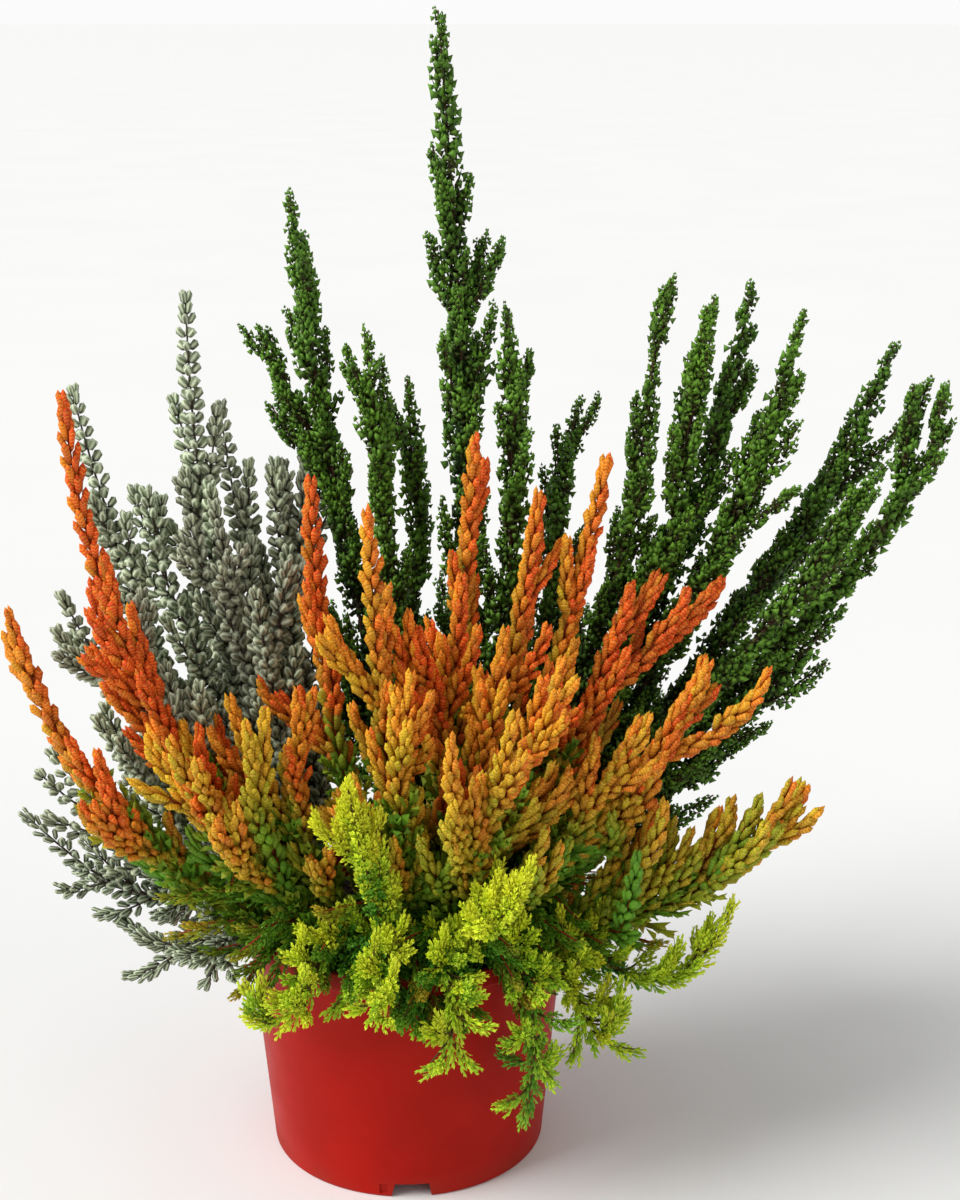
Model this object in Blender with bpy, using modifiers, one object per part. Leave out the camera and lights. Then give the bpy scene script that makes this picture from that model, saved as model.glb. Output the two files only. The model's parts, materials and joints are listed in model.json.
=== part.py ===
# Potted heather: three plants with bud-clad spikes in one tapered plastic pot.
# Metres, +Z up. The origin is the middle of the pot's underside, on the ground, with the front at -Y.

import math

import bmesh
import bpy
import numpy as np

MM = 0.001

# The pot
RIM_RADIUS = 66 * MM
WALL_TOP_RADIUS = 65 * MM
WALL_FOOT_RADIUS = 56 * MM
POT_HEIGHT = 100 * MM
WALL = 1.3 * MM
LIP_HEIGHT = 7 * MM
GUTTER_HEIGHT = 7 * MM
GUTTER_INNER_RADIUS = 38 * MM
CENTRE_RADIUS = 32 * MM
POT_SIDES = 36
NOTCHES = 3
NOTCH_WIDTH = 15 * MM
NOTCH_HEIGHT = 6 * MM
NOTCH_REACH = 8 * MM
NOTCH_FLARE = 0.1
DRAIN_HOLES = 6
DRAIN_HOLE_RADIUS = 3.5 * MM
DRAIN_CIRCLE_RADIUS = 46.5 * MM
DRAIN_SIDES = 8
EDGE = 1 * MM
LIP_TAPER = 0.3 * MM
FOOT_EDGE = 0.5 * MM
FOOT_THICKENING = 0.4 * MM

# The compost
GAP = 0.3 * MM
SOIL_TOP = 88 * MM
STEM_DEPTH = 10 * MM
STEM_HOLE_RADIUS = 2.0 * MM
STEM_HOLE_SIDES = 6
COMPOST_SIDES = POT_SIDES // 2

# How far cutters stand out of the solids they cut
OVERRUN = 1 * MM

# The shoots
CORNERS = 3
LEAST_BUD = 0.82
STEM_RADIUS = 1.15 * MM
BARE_PITCH = 13 * MM
BARE_LENGTH = 10 * MM
CLOTHED_LENGTH = 50 * MM
SIDE_CLOTHED_LENGTH = 14 * MM
CLOTHING_POWER = 0.7
TIP_LENGTH = 25 * MM
CLEARANCE = 0.25 * MM
ROOT_ROOM = 2.7 * MM
LARGEST_STEP = 1.5 * MM
BENDING_ROUNDS = 60
PAIR_ROUNDS = 5
PAIR_MARGIN = 5 * MM
STATIONS = 24
LOWEST_FORK = 4
FORK_ANGLE = math.radians(25)
SHORTEST_SIDE = 30 * MM
FINE_STATIONS = 48
CURVE_STATIONS = 60
SEED = 7
ROOT_CIRCLE_RADIUS = 52 * MM
ROOT_PULL = 0.32

# A spike this long has its plant's girth, a short one less and a long one a little more
FULL_LENGTH = 250 * MM
LEAST_GIRTH = 0.72
LONGEST = 1.6

# How strongly a leading stem starts upwards, and how far its curve's handles reach, as shares of its span
RISE = 0.8
ROOT_HANDLE = 0.25
TIP_HANDLE = 0.4
TRAILING_RISE = 12

# The same for a spike that forks from a stem
STEM_WAY = 0.5
FORK_HANDLE = 0.3
SIDE_TIP_HANDLE = 0.35

# How much of a lack of room each round makes good, how far tips yield beside roots, and how much of the
# way from the root to the next station stays under that station
PUSH = 0.22
TIP_YIELD = 0.25
ROOT_UPRIGHT = 0.7

# Short shoots low on each stem turn outwards, to one side and the other
SHOOT_TURN = math.radians(55)
SHOOT_RISE = 0.2
LEAST_SHOOT_GIRTH = 2.2 * MM

# Where each plant's crown sits in the compost, how thick its spikes are at most and at their tips, how
# strongly their ends turn upright, how far apart its buds stand, and how long its short shoots are and
# where they leave the stem, as shares of its length
PLANTS = {
    "green": {
        "crown": (20, 24), "girth": 6.4, "tip": 2.6, "upright": 0.35, "pitch": 10.5,
        "shoot": 36, "shoots": (0.24,),
    },
    "silver": {
        "crown": (-25, 14), "girth": 5.8, "tip": 2.4, "upright": 0.45, "pitch": 9.5,
        "shoot": 34, "shoots": (0.22, 0.4),
    },
    "orange": {
        "crown": (4, -22), "girth": 6.4, "tip": 2.8, "upright": 0.55, "pitch": 9.2,
        "shoot": 38, "shoots": (0.2, 0.4),
    },
    "lime": {
        "crown": (4, -26), "girth": 7.4, "tip": 3.2, "upright": 0.3, "pitch": 8,
        "shoot": 26, "shoots": (0.3, 0.45, 0.6, 0.75),
    },
}

# Each spray: the tips of its spikes in millimetres, the leading spike first
SPRAYS = {
    "green": (
        ((14, 45, 456), (34, 40, 366), (14, 48, 331)),
        ((-47, 62, 385), (-39, 52, 360), (-64, 78, 329), (-55, 66, 298)),
        ((-15, 38, 334), (-21, 46, 319), (-10, 60, 299)),
        ((0, 66, 310), (-4, 76, 290)),
        ((41, 34, 344), (48, 40, 320)),
        ((62, 52, 292), (78, 58, 297)),
        ((100, 40, 326), (95, 36, 256), (108, 56, 347)),
        ((123, 38, 347), (118, 30, 326)),
        ((140, 50, 352), (134, 56, 310)),
        ((159, 34, 343), (150, 26, 272)),
        ((197, 44, 327), (174, 62, 265), (170, 70, 255)),
        ((217, 22, 300), (203, 26, 313), (210, 16, 311)),
        ((188, 6, 287), (181, 2, 274), (175, 10, 261)),
        ((177, 14, 228), (144, 18, 173)),
        ((-40, 110, 200), (-62, 98, 172)),
        ((20, 132, 205), (-4, 122, 178)),
        ((80, 120, 196), (54, 112, 226)),
        ((135, 98, 178), (108, 112, 160)),
    ),
    "silver": (
        ((-87, 42, 347), (-83, 40, 272)),
        ((-132, 30, 312), (-120, 26, 262)),
        ((-77, 56, 302), (-67, 52, 261)),
        ((-109, 26, 273), (-98, 32, 268)),
        ((-76, 22, 266), (-89, 10, 256), (-69, 4, 250)),
        ((-55, 44, 276), (-48, 50, 274), (-34, 62, 274)),
        ((-58, -2, 237), (-44, 12, 244)),
        ((-140, 24, 228), (-136, 12, 209)),
        ((-87, -32, 202), (-80, -26, 199)),
        ((-151, 4, 160), (-122, -8, 186)),
        ((-107, -4, 218), (-99, 0, 233)),
        ((-118, 88, 176), (-92, 100, 204)),
    ),
    "orange": (
        ((-121, -40, 319), (-99, -46, 223)),
        ((-142, -56, 242), (-139, -50, 232)),
        ((-35, -8, 282), (-33, -14, 240)),
        ((-11, -46, 278), (-25, -50, 232)),
        ((28, 8, 295), (32, 14, 282)),
        ((53, -4, 276), (61, 0, 254)),
        ((79, 4, 288), (73, -4, 250)),
        ((23, -14, 246), (15, -20, 223), (-2, -34, 230), (7, -28, 226)),
        ((39, -36, 229), (30, -40, 209)),
        ((89, 0, 237), (101, 6, 237), (122, 8, 234)),
        ((-1, -66, 218), (12, -58, 212)),
        ((53, -58, 218), (65, -52, 216), (60, -70, 206)),
        ((109, -26, 200), (121, -20, 202), (132, -34, 197)),
        ((153, -44, 163), (136, -52, 150)),
        ((42, -78, 211),),
        ((89, -52, 200), (93, -60, 185)),
        ((-64, -42, 204), (-38, -50, 208)),
        ((-91, -58, 201), (-98, -62, 180), (-55, -66, 202), (-73, -72, 191)),
    ),
    "lime": (
        ((-17, -92, 191), (-29, -88, 173)),
        ((47, -104, 161), (30, -98, 140)),
    ),
}

# Sprays that lean out over the rim: the way each one takes from the compost, in millimetres
TRAILING = {
    "silver": (
        ((-38, 2), (-60, 0, 112), (-84, -4, 112), (-118, -6, 118), (-156, -4, 144)),
        ((-34, -12), (-58, -20, 109), (-76, -27, 99), (-98, -16, 94), (-120, -4, 97)),
    ),
    "lime": (
        ((-20, -44), (-28, -58, 110), (-36, -76, 97), (-48, -79, 88), (-60, -70, 103)),
        ((-4, -48), (-5, -64, 112), (-6, -84, 108), (-8, -96, 100), (-6, -102, 112)),
        ((16, -47), (17, -63, 112), (20, -80, 100), (18, -87, 80), (6, -86, 72)),
        ((34, -38), (42, -55, 110), (50, -70, 88), (50, -70, 62), (46, -66, 36)),
        ((42, -30), (57, -46, 109), (70, -56, 84), (78, -58, 76), (86, -54, 96)),
        ((46, -20), (66, -32, 110), (88, -42, 100), (110, -44, 104), (130, -42, 122)),
    ),
}

COLOURS = {
    "pot": (0.42, 0.03, 0.015),
    "compost": (0.05, 0.03, 0.02),
    "green": (0.04, 0.12, 0.02),
    "silver": (0.22, 0.26, 0.2),
    "orange": (0.55, 0.16, 0.02),
    "lime": (0.3, 0.42, 0.03),
}


def clear_scene():
    for item in list(bpy.data.objects):
        bpy.data.objects.remove(item)


def new_collection(name):
    collection = bpy.data.collections.new(name)
    bpy.context.scene.collection.children.link(collection)
    return collection


def make_material(name, roughness):
    material = bpy.data.materials.new(name)
    material.use_nodes = True
    shader = material.node_tree.nodes["Principled BSDF"]
    shader.inputs["Base Color"].default_value = (*COLOURS[name], 1)
    shader.inputs["Roughness"].default_value = roughness
    shader.inputs["Metallic"].default_value = 0
    return material


def add_object(name, mesh, collection, material=None):
    item = bpy.data.objects.new(name, mesh)
    collection.objects.link(item)
    if material:
        mesh.materials.append(material)
    return item


def as_cutter(item):
    item.hide_render = True
    item.display_type = "WIRE"


def wall_radius(height):
    """The outer radius of the pot's wall at a height."""
    return WALL_FOOT_RADIUS + (WALL_TOP_RADIUS - WALL_FOOT_RADIUS) * height / POT_HEIGHT


def turned(name, profile, sides, collection, material):
    """A solid of revolution: the profile runs from the axis, over the outer side, back to the axis."""
    mesh = bpy.data.meshes.new(name)
    points = [(radius, 0, height) for radius, height in profile]
    mesh.from_pydata(points, [(i, i + 1) for i in range(len(points) - 1)], [])
    item = add_object(name, mesh, collection, material)
    screw = item.modifiers.new("turn", "SCREW")
    screw.steps = sides
    screw.render_steps = sides
    screw.use_merge_vertices = True
    screw.merge_threshold = 0.00001
    return item


def pot_profile():
    inner_gutter = GUTTER_HEIGHT + WALL
    lip_foot = POT_HEIGHT - LIP_HEIGHT
    return (
        (0, WALL),
        (CENTRE_RADIUS - WALL, WALL),
        (GUTTER_INNER_RADIUS - WALL, inner_gutter),
        (wall_radius(inner_gutter) - WALL, inner_gutter),
        (wall_radius(POT_HEIGHT) - WALL, POT_HEIGHT),
        (RIM_RADIUS, POT_HEIGHT),
        (RIM_RADIUS - LIP_TAPER, lip_foot),
        (wall_radius(lip_foot), lip_foot - EDGE),
        (wall_radius(EDGE), EDGE),
        (WALL_FOOT_RADIUS - FOOT_EDGE, 0),
        (WALL_FOOT_RADIUS - WALL - FOOT_THICKENING, 0),
        (wall_radius(GUTTER_HEIGHT) - WALL - FOOT_THICKENING, GUTTER_HEIGHT),
        (GUTTER_INNER_RADIUS, GUTTER_HEIGHT),
        (CENTRE_RADIUS, 0),
        (0, 0),
    )


def notch_cutters(collection):
    """Blocks that cut the standing ring, the first one at the front."""
    for number in range(NOTCHES):
        mesh = bpy.data.meshes.new(f"notch_{number}")
        shape = bmesh.new()
        bmesh.ops.create_cube(shape, size=1)
        for corner in shape.verts:
            flare = 1 + (NOTCH_FLARE if corner.co.z < 0 else 0)
            across = corner.co.x * NOTCH_WIDTH * flare
            outward = corner.co.y * NOTCH_REACH - WALL_FOOT_RADIUS
            corner.co = (across, outward, corner.co.z * 2 * NOTCH_HEIGHT)
        bmesh.ops.recalc_face_normals(shape, faces=shape.faces)
        shape.to_mesh(mesh)
        shape.free()
        cutter = add_object(f"notch_{number}", mesh, collection)
        cutter.rotation_euler.z = number * 2 * math.pi / NOTCHES
        as_cutter(cutter)


def upright_prism(name, radius, foot, top, sides, place, collection):
    mesh = bpy.data.meshes.new(name)
    shape = bmesh.new()
    bmesh.ops.create_cone(
        shape, cap_ends=True, segments=sides, radius1=radius, radius2=radius, depth=top - foot
    )
    shape.to_mesh(mesh)
    shape.free()
    item = add_object(name, mesh, collection)
    item.location = (*place, (foot + top) / 2)
    as_cutter(item)
    return item


def drain_cutters(collection):
    for number in range(DRAIN_HOLES):
        angle = (number + 0.5) * 2 * math.pi / DRAIN_HOLES
        place = (DRAIN_CIRCLE_RADIUS * math.cos(angle), DRAIN_CIRCLE_RADIUS * math.sin(angle))
        foot, top = GUTTER_HEIGHT - OVERRUN, GUTTER_HEIGHT + WALL + OVERRUN
        upright_prism(f"drain_{number}", DRAIN_HOLE_RADIUS, foot, top, DRAIN_SIDES, place, collection)


def cut_by(item, collection):
    cut = item.modifiers.new("cut", "BOOLEAN")
    cut.operation = "DIFFERENCE"
    cut.operand_type = "COLLECTION"
    cut.collection = collection
    cut.solver = "EXACT"


def make_pot(collection):
    pot = turned("pot", pot_profile(), POT_SIDES, collection, make_material("pot", 0.35))
    cutters = new_collection("pot cutters")
    notch_cutters(cutters)
    drain_cutters(cutters)
    cut_by(pot, cutters)
    return pot


def make_compost(roots, collection):
    """The compost plug follows the pot's inside, with a blind hole for every stem."""
    gutter = GUTTER_HEIGHT + WALL + GAP
    inset = WALL + 2 * GAP
    profile = (
        (0, SOIL_TOP),
        (wall_radius(SOIL_TOP) - inset, SOIL_TOP),
        (wall_radius(gutter) - inset, gutter),
        (GUTTER_INNER_RADIUS - WALL - GAP, gutter),
        (CENTRE_RADIUS - WALL - 2 * GAP, WALL + GAP),
        (0, WALL + GAP),
    )
    compost = turned("compost", profile, COMPOST_SIDES, collection, make_material("compost", 0.95))
    cutters = new_collection("stem holes")
    for number, root in enumerate(roots):
        foot, top = SOIL_TOP - STEM_DEPTH - GAP, SOIL_TOP + OVERRUN
        upright_prism(f"hole_{number}", STEM_HOLE_RADIUS, foot, top, STEM_HOLE_SIDES, root[:2], cutters)
    cut_by(compost, cutters)
    return compost


def unit(vector):
    return vector / np.linalg.norm(vector, axis=-1, keepdims=True)


def evenly(points, count):
    """The same line with its stations at equal distances along it."""
    along = np.r_[0, np.cumsum(np.linalg.norm(np.diff(points, axis=0), axis=1))]
    wanted = np.linspace(0, along[-1], count)
    return np.column_stack([np.interp(wanted, along, points[:, axis]) for axis in range(3)])


def bezier(first, second, third, fourth):
    t = np.linspace(0, 1, CURVE_STATIONS)[:, None]
    s = 1 - t
    return s**3 * first + 3 * s * s * t * second + 3 * s * t * t * third + t**3 * fourth


def through(points):
    """A smooth line through points, as Catmull and Rom's curve gives it."""
    ends = np.vstack([2 * points[0] - points[1], points, 2 * points[-1] - points[-2]])
    pieces = []
    for number in range(len(points) - 1):
        before, start, end, after = ends[number : number + 4]
        pieces.append(bezier(start, start + (end - before) / 6, end - (after - start) / 6, end)[:-1])
    return np.vstack([*pieces, points[-1:]])


def root_of(plant, tip):
    """A stem's root lies between the plant's crown and its tip, and stays clear of the pot's wall."""
    crown = np.array(PLANTS[plant]["crown"]) * MM
    place = crown + ROOT_PULL * (tip[:2] - crown)
    place *= min(1, ROOT_CIRCLE_RADIUS / np.linalg.norm(place))
    return np.array([*place, SOIL_TOP])


def leading_line(plant, tip):
    """A stem rises, leans out to its tip and turns upright towards its end."""
    root = root_of(plant, tip)
    reach = np.linalg.norm(tip - root)
    upright = np.array([0, 0, 1])
    lean = unit(tip - root)
    start = unit(lean + RISE * upright)
    finish = unit(lean + PLANTS[plant]["upright"] * upright)
    return bezier(root, root + start * reach * ROOT_HANDLE, tip - finish * reach * TIP_HANDLE, tip)


def trailing_line(points):
    (x, y), *rest = points
    root = np.array([x, y, SOIL_TOP / MM])
    start = root + (0, 0, TRAILING_RISE)
    return through(np.vstack([root, start, np.array(rest)]) * MM)


def side_line(leader, tip, upright):
    """A side spike leaves its stem where it can reach its tip at about 25 degrees."""
    way = tip - leader[LOWEST_FORK:-1]
    slant = (unit(way) * unit(np.diff(leader, axis=0))[LOWEST_FORK:]).sum(axis=1)
    misfit = np.abs(slant - math.cos(FORK_ANGLE))
    misfit[np.linalg.norm(way, axis=1) < SHORTEST_SIDE] = 2
    fork = LOWEST_FORK + int(np.argmin(misfit))
    return fork, forked_line(leader, fork, tip, upright)


def shoot_line(leader, share, turn, reach, upright):
    """A short shoot points away from the middle of the pot, turned to one side or the other."""
    fork = round(share * (STATIONS - 1))
    root = leader[fork]
    bearing = math.atan2(root[1], root[0]) + turn
    outward = np.array([math.cos(bearing), math.sin(bearing), SHOOT_RISE])
    ahead = unit(leader[fork + 1] - root)
    return fork, forked_line(leader, fork, root + unit(ahead + outward) * reach, upright)


def forked_line(leader, fork, tip, upright):
    root = leader[fork]
    reach = np.linalg.norm(tip - root)
    lean = unit(tip - root)
    first = unit(lean + unit(leader[fork + 1] - root) * STEM_WAY)
    finish = unit(lean + np.array([0, 0, upright]))
    return bezier(root, root + first * reach * FORK_HANDLE, tip - finish * reach * SIDE_TIP_HANDLE, tip)


def girth_of(plant, length, side):
    """How thick a spike may be at each of its stations: bare at its root, thick, then tapering."""
    look = PLANTS[plant]
    full = look["girth"] * (LEAST_GIRTH + (1 - LEAST_GIRTH) * min(length / FULL_LENGTH, LONGEST)) * MM
    along = np.linspace(0, length, STATIONS)
    above = along / SIDE_CLOTHED_LENGTH if side else (along - BARE_LENGTH) / CLOTHED_LENGTH
    clothed = np.clip(above, 0, 1) ** CLOTHING_POWER
    taper = 1 - np.exp((along - length) / TIP_LENGTH)
    tip = look["tip"] * MM
    return STEM_RADIUS + (tip + (full - tip) * taper - STEM_RADIUS) * clothed


def wall_distance(points):
    """How far points are from the pot's wall, and which way they would leave it."""
    out = np.hypot(points[..., 0], points[..., 1])
    foot = np.array([WALL_FOOT_RADIUS - WALL / 2, 0])
    top = np.array([(WALL_TOP_RADIUS - WALL + RIM_RADIUS) / 2, POT_HEIGHT])
    side = top - foot
    place = np.stack([out, points[..., 2]], axis=-1) - foot
    share = np.clip((place @ side) / (side @ side), 0, 1)
    away = place - share[..., None] * side
    distance = np.linalg.norm(away, axis=-1)
    away /= distance[..., None] + 1e-9
    spread = points[..., :2] / (out[..., None] + 1e-9) * away[..., :1]
    return distance - WALL, np.concatenate([spread, away[..., 1:]], axis=-1)


def lay_out():
    """Every spike of every spray: its plant, spray, line, girth, and the station where it forks."""
    spikes = []
    spray = 0
    for plant, sprays in SPRAYS.items():
        for tips in sprays:
            spikes += spray_spikes(plant, spray, leading_line(plant, np.array(tips[0]) * MM), tips[1:])
            spray += 1
        for points in TRAILING.get(plant, ()):
            spikes += spray_spikes(plant, spray, trailing_line(points), ())
            spray += 1
    return spikes


def spray_spikes(plant, spray, line, side_tips):
    leader = evenly(line, STATIONS)
    upright = PLANTS[plant]["upright"]
    lines = [(None, leader)]
    lines += [side_line(leader, np.array(tip) * MM, upright) for tip in side_tips]
    for number, share in enumerate(PLANTS[plant]["shoots"]):
        turn = SHOOT_TURN * (-1) ** (number + spray)
        lines.append(shoot_line(leader, share, turn, PLANTS[plant]["shoot"] * MM, upright))
    spikes = []
    for number, (fork, line) in enumerate(lines):
        line = evenly(line, STATIONS)
        length = np.linalg.norm(np.diff(line, axis=0), axis=1).sum()
        girth = girth_of(plant, length, fork is not None)
        short = number > len(side_tips)
        parts = {"plant": plant, "spray": spray, "line": line, "girth": girth}
        spikes.append({**parts, "fork": fork, "short": short})
    return spikes


def near_pairs(points, owners, reach):
    """Pairs of stations of different sprays that are nearer to each other than a reach."""
    square = (points**2).sum(axis=1)
    near = square[:, None] + square - 2 * points @ points.T < reach**2
    near &= owners[:, None] < owners
    return np.nonzero(near)


def bend_clear(spikes):
    """Bends the lines away from each other and from the pot, little by little, tips least of all."""
    lines = np.array([spike["line"] for spike in spikes])
    girths = np.array([spike["girth"] for spike in spikes])
    owners = np.repeat([spike["spray"] for spike in spikes], STATIONS)
    room = np.maximum(girths, ROOT_ROOM).reshape(-1)
    yielding = np.linspace(1, TIP_YIELD, STATIONS)[None, :, None]
    reach = 2 * (room.max() + CLEARANCE) + PAIR_MARGIN
    for turn in range(BENDING_ROUNDS):
        points = lines.reshape(-1, 3)
        if turn % PAIR_ROUNDS == 0:
            first, second = near_pairs(points, owners, reach)
        apart = points[first] - points[second]
        distance = np.linalg.norm(apart, axis=1)
        lack = np.clip(room[first] + room[second] + 2 * CLEARANCE - distance, 0, None)
        push = apart * (PUSH * lack / (distance + 1e-6))[:, None]
        shift = np.column_stack(
            [
                np.bincount(first, push[:, axis], len(points))
                - np.bincount(second, push[:, axis], len(points))
                for axis in range(3)
            ]
        ).reshape(lines.shape)
        shift *= yielding
        gap, away = wall_distance(lines)
        shift += away * np.clip(room.reshape(gap.shape) + 2 * CLEARANCE - gap, 0, None)[..., None]
        shift[:, 0, 2] = 0
        shift[:, 1:-1] = (shift[:, :-2] + 2 * shift[:, 1:-1] + shift[:, 2:]) / 4
        lines = lines + np.clip(shift, -LARGEST_STEP, LARGEST_STEP)
        hold_roots(lines, spikes)
    for spike, line in zip(spikes, lines):
        spike["line"] = line


def hold_roots(lines, spikes):
    """Keeps stems upright in the compost and side spikes on their stems, and evens the stations."""
    leader = 0
    for number, spike in enumerate(spikes):
        if spike["fork"] is None:
            leader = number
            out = np.linalg.norm(lines[number, 0, :2])
            lines[number, 0, :2] *= min(1, ROOT_CIRCLE_RADIUS / out)
            lines[number, 0, 2] = SOIL_TOP
            lines[number, 1, :2] += ROOT_UPRIGHT * (lines[number, 0, :2] - lines[number, 1, :2])
        else:
            step = lines[leader, spike["fork"]] - lines[number, 0]
            lines[number] += step * np.linspace(1, 0, STATIONS)[:, None] ** 2
        lines[number] = evenly(lines[number], STATIONS)


def free_girths(spikes):
    """Slims each spike to half its distance from those of other sprays, so that no two sprays touch."""
    fine = np.array([evenly(spike["line"], FINE_STATIONS) for spike in spikes])
    points = fine.reshape(-1, 3)
    owners = np.repeat([spike["spray"] for spike in spikes], FINE_STATIONS)
    reach = 4 * max(look["girth"] for look in PLANTS.values()) * MM
    first, second = near_pairs(points, owners, reach)
    distance = np.linalg.norm(points[first] - points[second], axis=1)
    limit = np.full(len(points), reach)
    np.minimum.at(limit, first, distance)
    np.minimum.at(limit, second, distance)
    gap, _ = wall_distance(fine)
    limit = np.minimum(limit.reshape(gap.shape) / 2, gap) - CLEARANCE
    for spike, row in zip(spikes, limit):
        row = np.minimum(np.minimum(row, np.r_[row[1:], row[-1]]), np.r_[row[0], row[:-1]])
        coarse = np.linspace(0, 1, STATIONS)
        wanted = np.interp(np.linspace(0, 1, FINE_STATIONS), coarse, spike["girth"])
        spike["girth"] = np.minimum(wanted, row)


def ring_places(length, bare, pitch):
    """Where a shoot's sections lie along it: far apart on the bare stem, a bud's pitch apart above."""
    places = [0.0]
    while places[-1] + 1.5 * pitch < length:
        places.append(places[-1] + (BARE_PITCH if places[-1] < bare else pitch))
    return np.array(places)


def section_frames(centres):
    """Two directions square to the line at each centre, carried along it without a twist."""
    forward = unit(np.gradient(centres, axis=0))
    across = np.cross(forward[0], (0.0, 1.0, 0.1))
    frames = []
    for ahead in forward:
        across = unit(across - (across @ ahead) * ahead)
        frames.append((across, np.cross(ahead, across)))
    return frames


def shoot_sections(spike):
    """The middle and radius of each of a shoot's sections, and the point of its tip."""
    line = evenly(spike["line"], 4 * FINE_STATIONS)
    length = np.linalg.norm(np.diff(line, axis=0), axis=1).sum()
    stands_in_compost = spike["fork"] is None
    bare = BARE_LENGTH if stands_in_compost else 0
    share = ring_places(length, bare, PLANTS[spike["plant"]]["pitch"] * MM) / length
    along = np.linspace(0, 1, len(line))
    centres = np.column_stack([np.interp(share, along, line[:, axis]) for axis in range(3)])
    radii = np.interp(share, np.linspace(0, 1, FINE_STATIONS), spike["girth"])
    if stands_in_compost:
        centres = np.vstack([centres[0] - (0, 0, STEM_DEPTH), centres])
        radii = np.r_[STEM_RADIUS, radii]
    return centres, radii, line[-1]


def shoot_mesh(name, spike, draw):
    """A shoot is a loft of three-cornered sections, each turned by half a corner from the last, so
    that every corner stands out as a bud over the gap between two buds below it."""
    centres, radii, point = shoot_sections(spike)
    shape = bmesh.new()
    rings = []
    for number, (centre, radius, frame) in enumerate(zip(centres, radii, section_frames(centres))):
        ring = []
        for corner in range(CORNERS):
            angle = 2 * math.pi / CORNERS * (corner + number / 2)
            way = math.cos(angle) * frame[0] + math.sin(angle) * frame[1]
            ring.append(shape.verts.new(centre + radius * draw.uniform(LEAST_BUD, 1.0) * way))
        rings.append(ring)
    shape.faces.new(rings[0][::-1])
    for lower, upper in zip(rings, rings[1:]):
        for corner in range(CORNERS):
            after = (corner + 1) % CORNERS
            shape.faces.new((lower[corner], lower[after], upper[corner]))
            shape.faces.new((lower[after], upper[after], upper[corner]))
    tip = shape.verts.new(point)
    for corner in range(CORNERS):
        shape.faces.new((rings[-1][corner], rings[-1][(corner + 1) % CORNERS], tip))
    mesh = bpy.data.meshes.new(name)
    shape.to_mesh(mesh)
    shape.free()
    return mesh


def apply_modifiers(item):
    graph = bpy.context.evaluated_depsgraph_get()
    finished = bpy.data.meshes.new_from_object(item.evaluated_get(graph))
    item.modifiers.clear()
    item.data = finished


def join_spray(name, meshes, collection, material):
    """One body for a spray: its side spikes are united with its leading spike."""
    spray = add_object(name, meshes[0], collection, material)
    if len(meshes) == 1:
        return spray
    sides = new_collection(f"{name} sides")
    for number, mesh in enumerate(meshes[1:]):
        add_object(f"{name} side {number}", mesh, sides)
    join = spray.modifiers.new("join", "BOOLEAN")
    join.operation = "UNION"
    join.operand_type = "COLLECTION"
    join.collection = sides
    join.solver = "EXACT"
    apply_modifiers(spray)
    for side in list(sides.objects):
        bpy.data.objects.remove(side)
    bpy.data.collections.remove(sides)
    return spray


def make_sprays(spikes, collection):
    draw = np.random.default_rng(SEED)
    materials = {plant: make_material(plant, 0.7) for plant in PLANTS}
    numbers = dict.fromkeys(PLANTS, 0)
    for spray in range(spikes[-1]["spray"] + 1):
        members = [spike for spike in spikes if spike["spray"] == spray]
        plant = members[0]["plant"]
        numbers[plant] += 1
        name = f"{plant}_spray_{numbers[plant]:02d}"
        meshes = [shoot_mesh(name, member, draw) for member in members]
        join_spray(name, meshes, collection, materials[plant])


def main():
    clear_scene()
    heather = new_collection("potted heather")
    spikes = lay_out()
    bend_clear(spikes)
    free_girths(spikes)
    spikes = [s for s in spikes if not s["short"] or np.median(s["girth"]) > LEAST_SHOOT_GIRTH]
    make_pot(heather)
    roots = [spike["line"][0] for spike in spikes if spike["fork"] is None]
    make_compost(roots, heather)
    make_sprays(spikes, heather)


if __name__ == "__main__":
    main()
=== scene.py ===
# Potted heather: the dressed model of three plants with bud-clad spikes in one red plastic pot.
# The packed solids are the fixed frame, and every spray, the compost and the pot stand in for their node.
import functools
import json
import math
from collections import namedtuple

import bpy
import numpy as np
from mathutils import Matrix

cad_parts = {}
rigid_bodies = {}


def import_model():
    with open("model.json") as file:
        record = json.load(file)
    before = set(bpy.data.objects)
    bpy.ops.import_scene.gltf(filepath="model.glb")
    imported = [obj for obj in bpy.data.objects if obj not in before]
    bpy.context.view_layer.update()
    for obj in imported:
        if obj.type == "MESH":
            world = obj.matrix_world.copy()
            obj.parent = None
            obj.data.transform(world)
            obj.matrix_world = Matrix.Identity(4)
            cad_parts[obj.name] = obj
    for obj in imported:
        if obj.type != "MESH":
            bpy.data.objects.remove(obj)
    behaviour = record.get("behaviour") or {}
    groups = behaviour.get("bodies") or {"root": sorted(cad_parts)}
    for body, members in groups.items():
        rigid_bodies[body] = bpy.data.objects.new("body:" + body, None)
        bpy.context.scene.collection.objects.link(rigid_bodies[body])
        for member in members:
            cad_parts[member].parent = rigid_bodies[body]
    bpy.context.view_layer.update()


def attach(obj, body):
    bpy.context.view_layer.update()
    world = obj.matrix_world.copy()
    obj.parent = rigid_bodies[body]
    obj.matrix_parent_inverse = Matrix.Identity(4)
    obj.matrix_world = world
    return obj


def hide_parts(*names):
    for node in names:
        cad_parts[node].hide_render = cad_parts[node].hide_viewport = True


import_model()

bl_info = {
    "name": "Potted heather",
    "version": (1, 0, 0),
    "blender": (4, 5, 0),
    "location": "View3D > Sidebar > Heather",
    "description": "Dresses three potted heathers in buds, leaves, compost and a plastic pot",
    "category": "Object",
}

MM = 0.001

# Settings


def colour(name, description, default):
    return bpy.props.FloatVectorProperty(
        name=name, description=description, default=default, subtype="COLOR", size=3, min=0, max=1
    )


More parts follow.
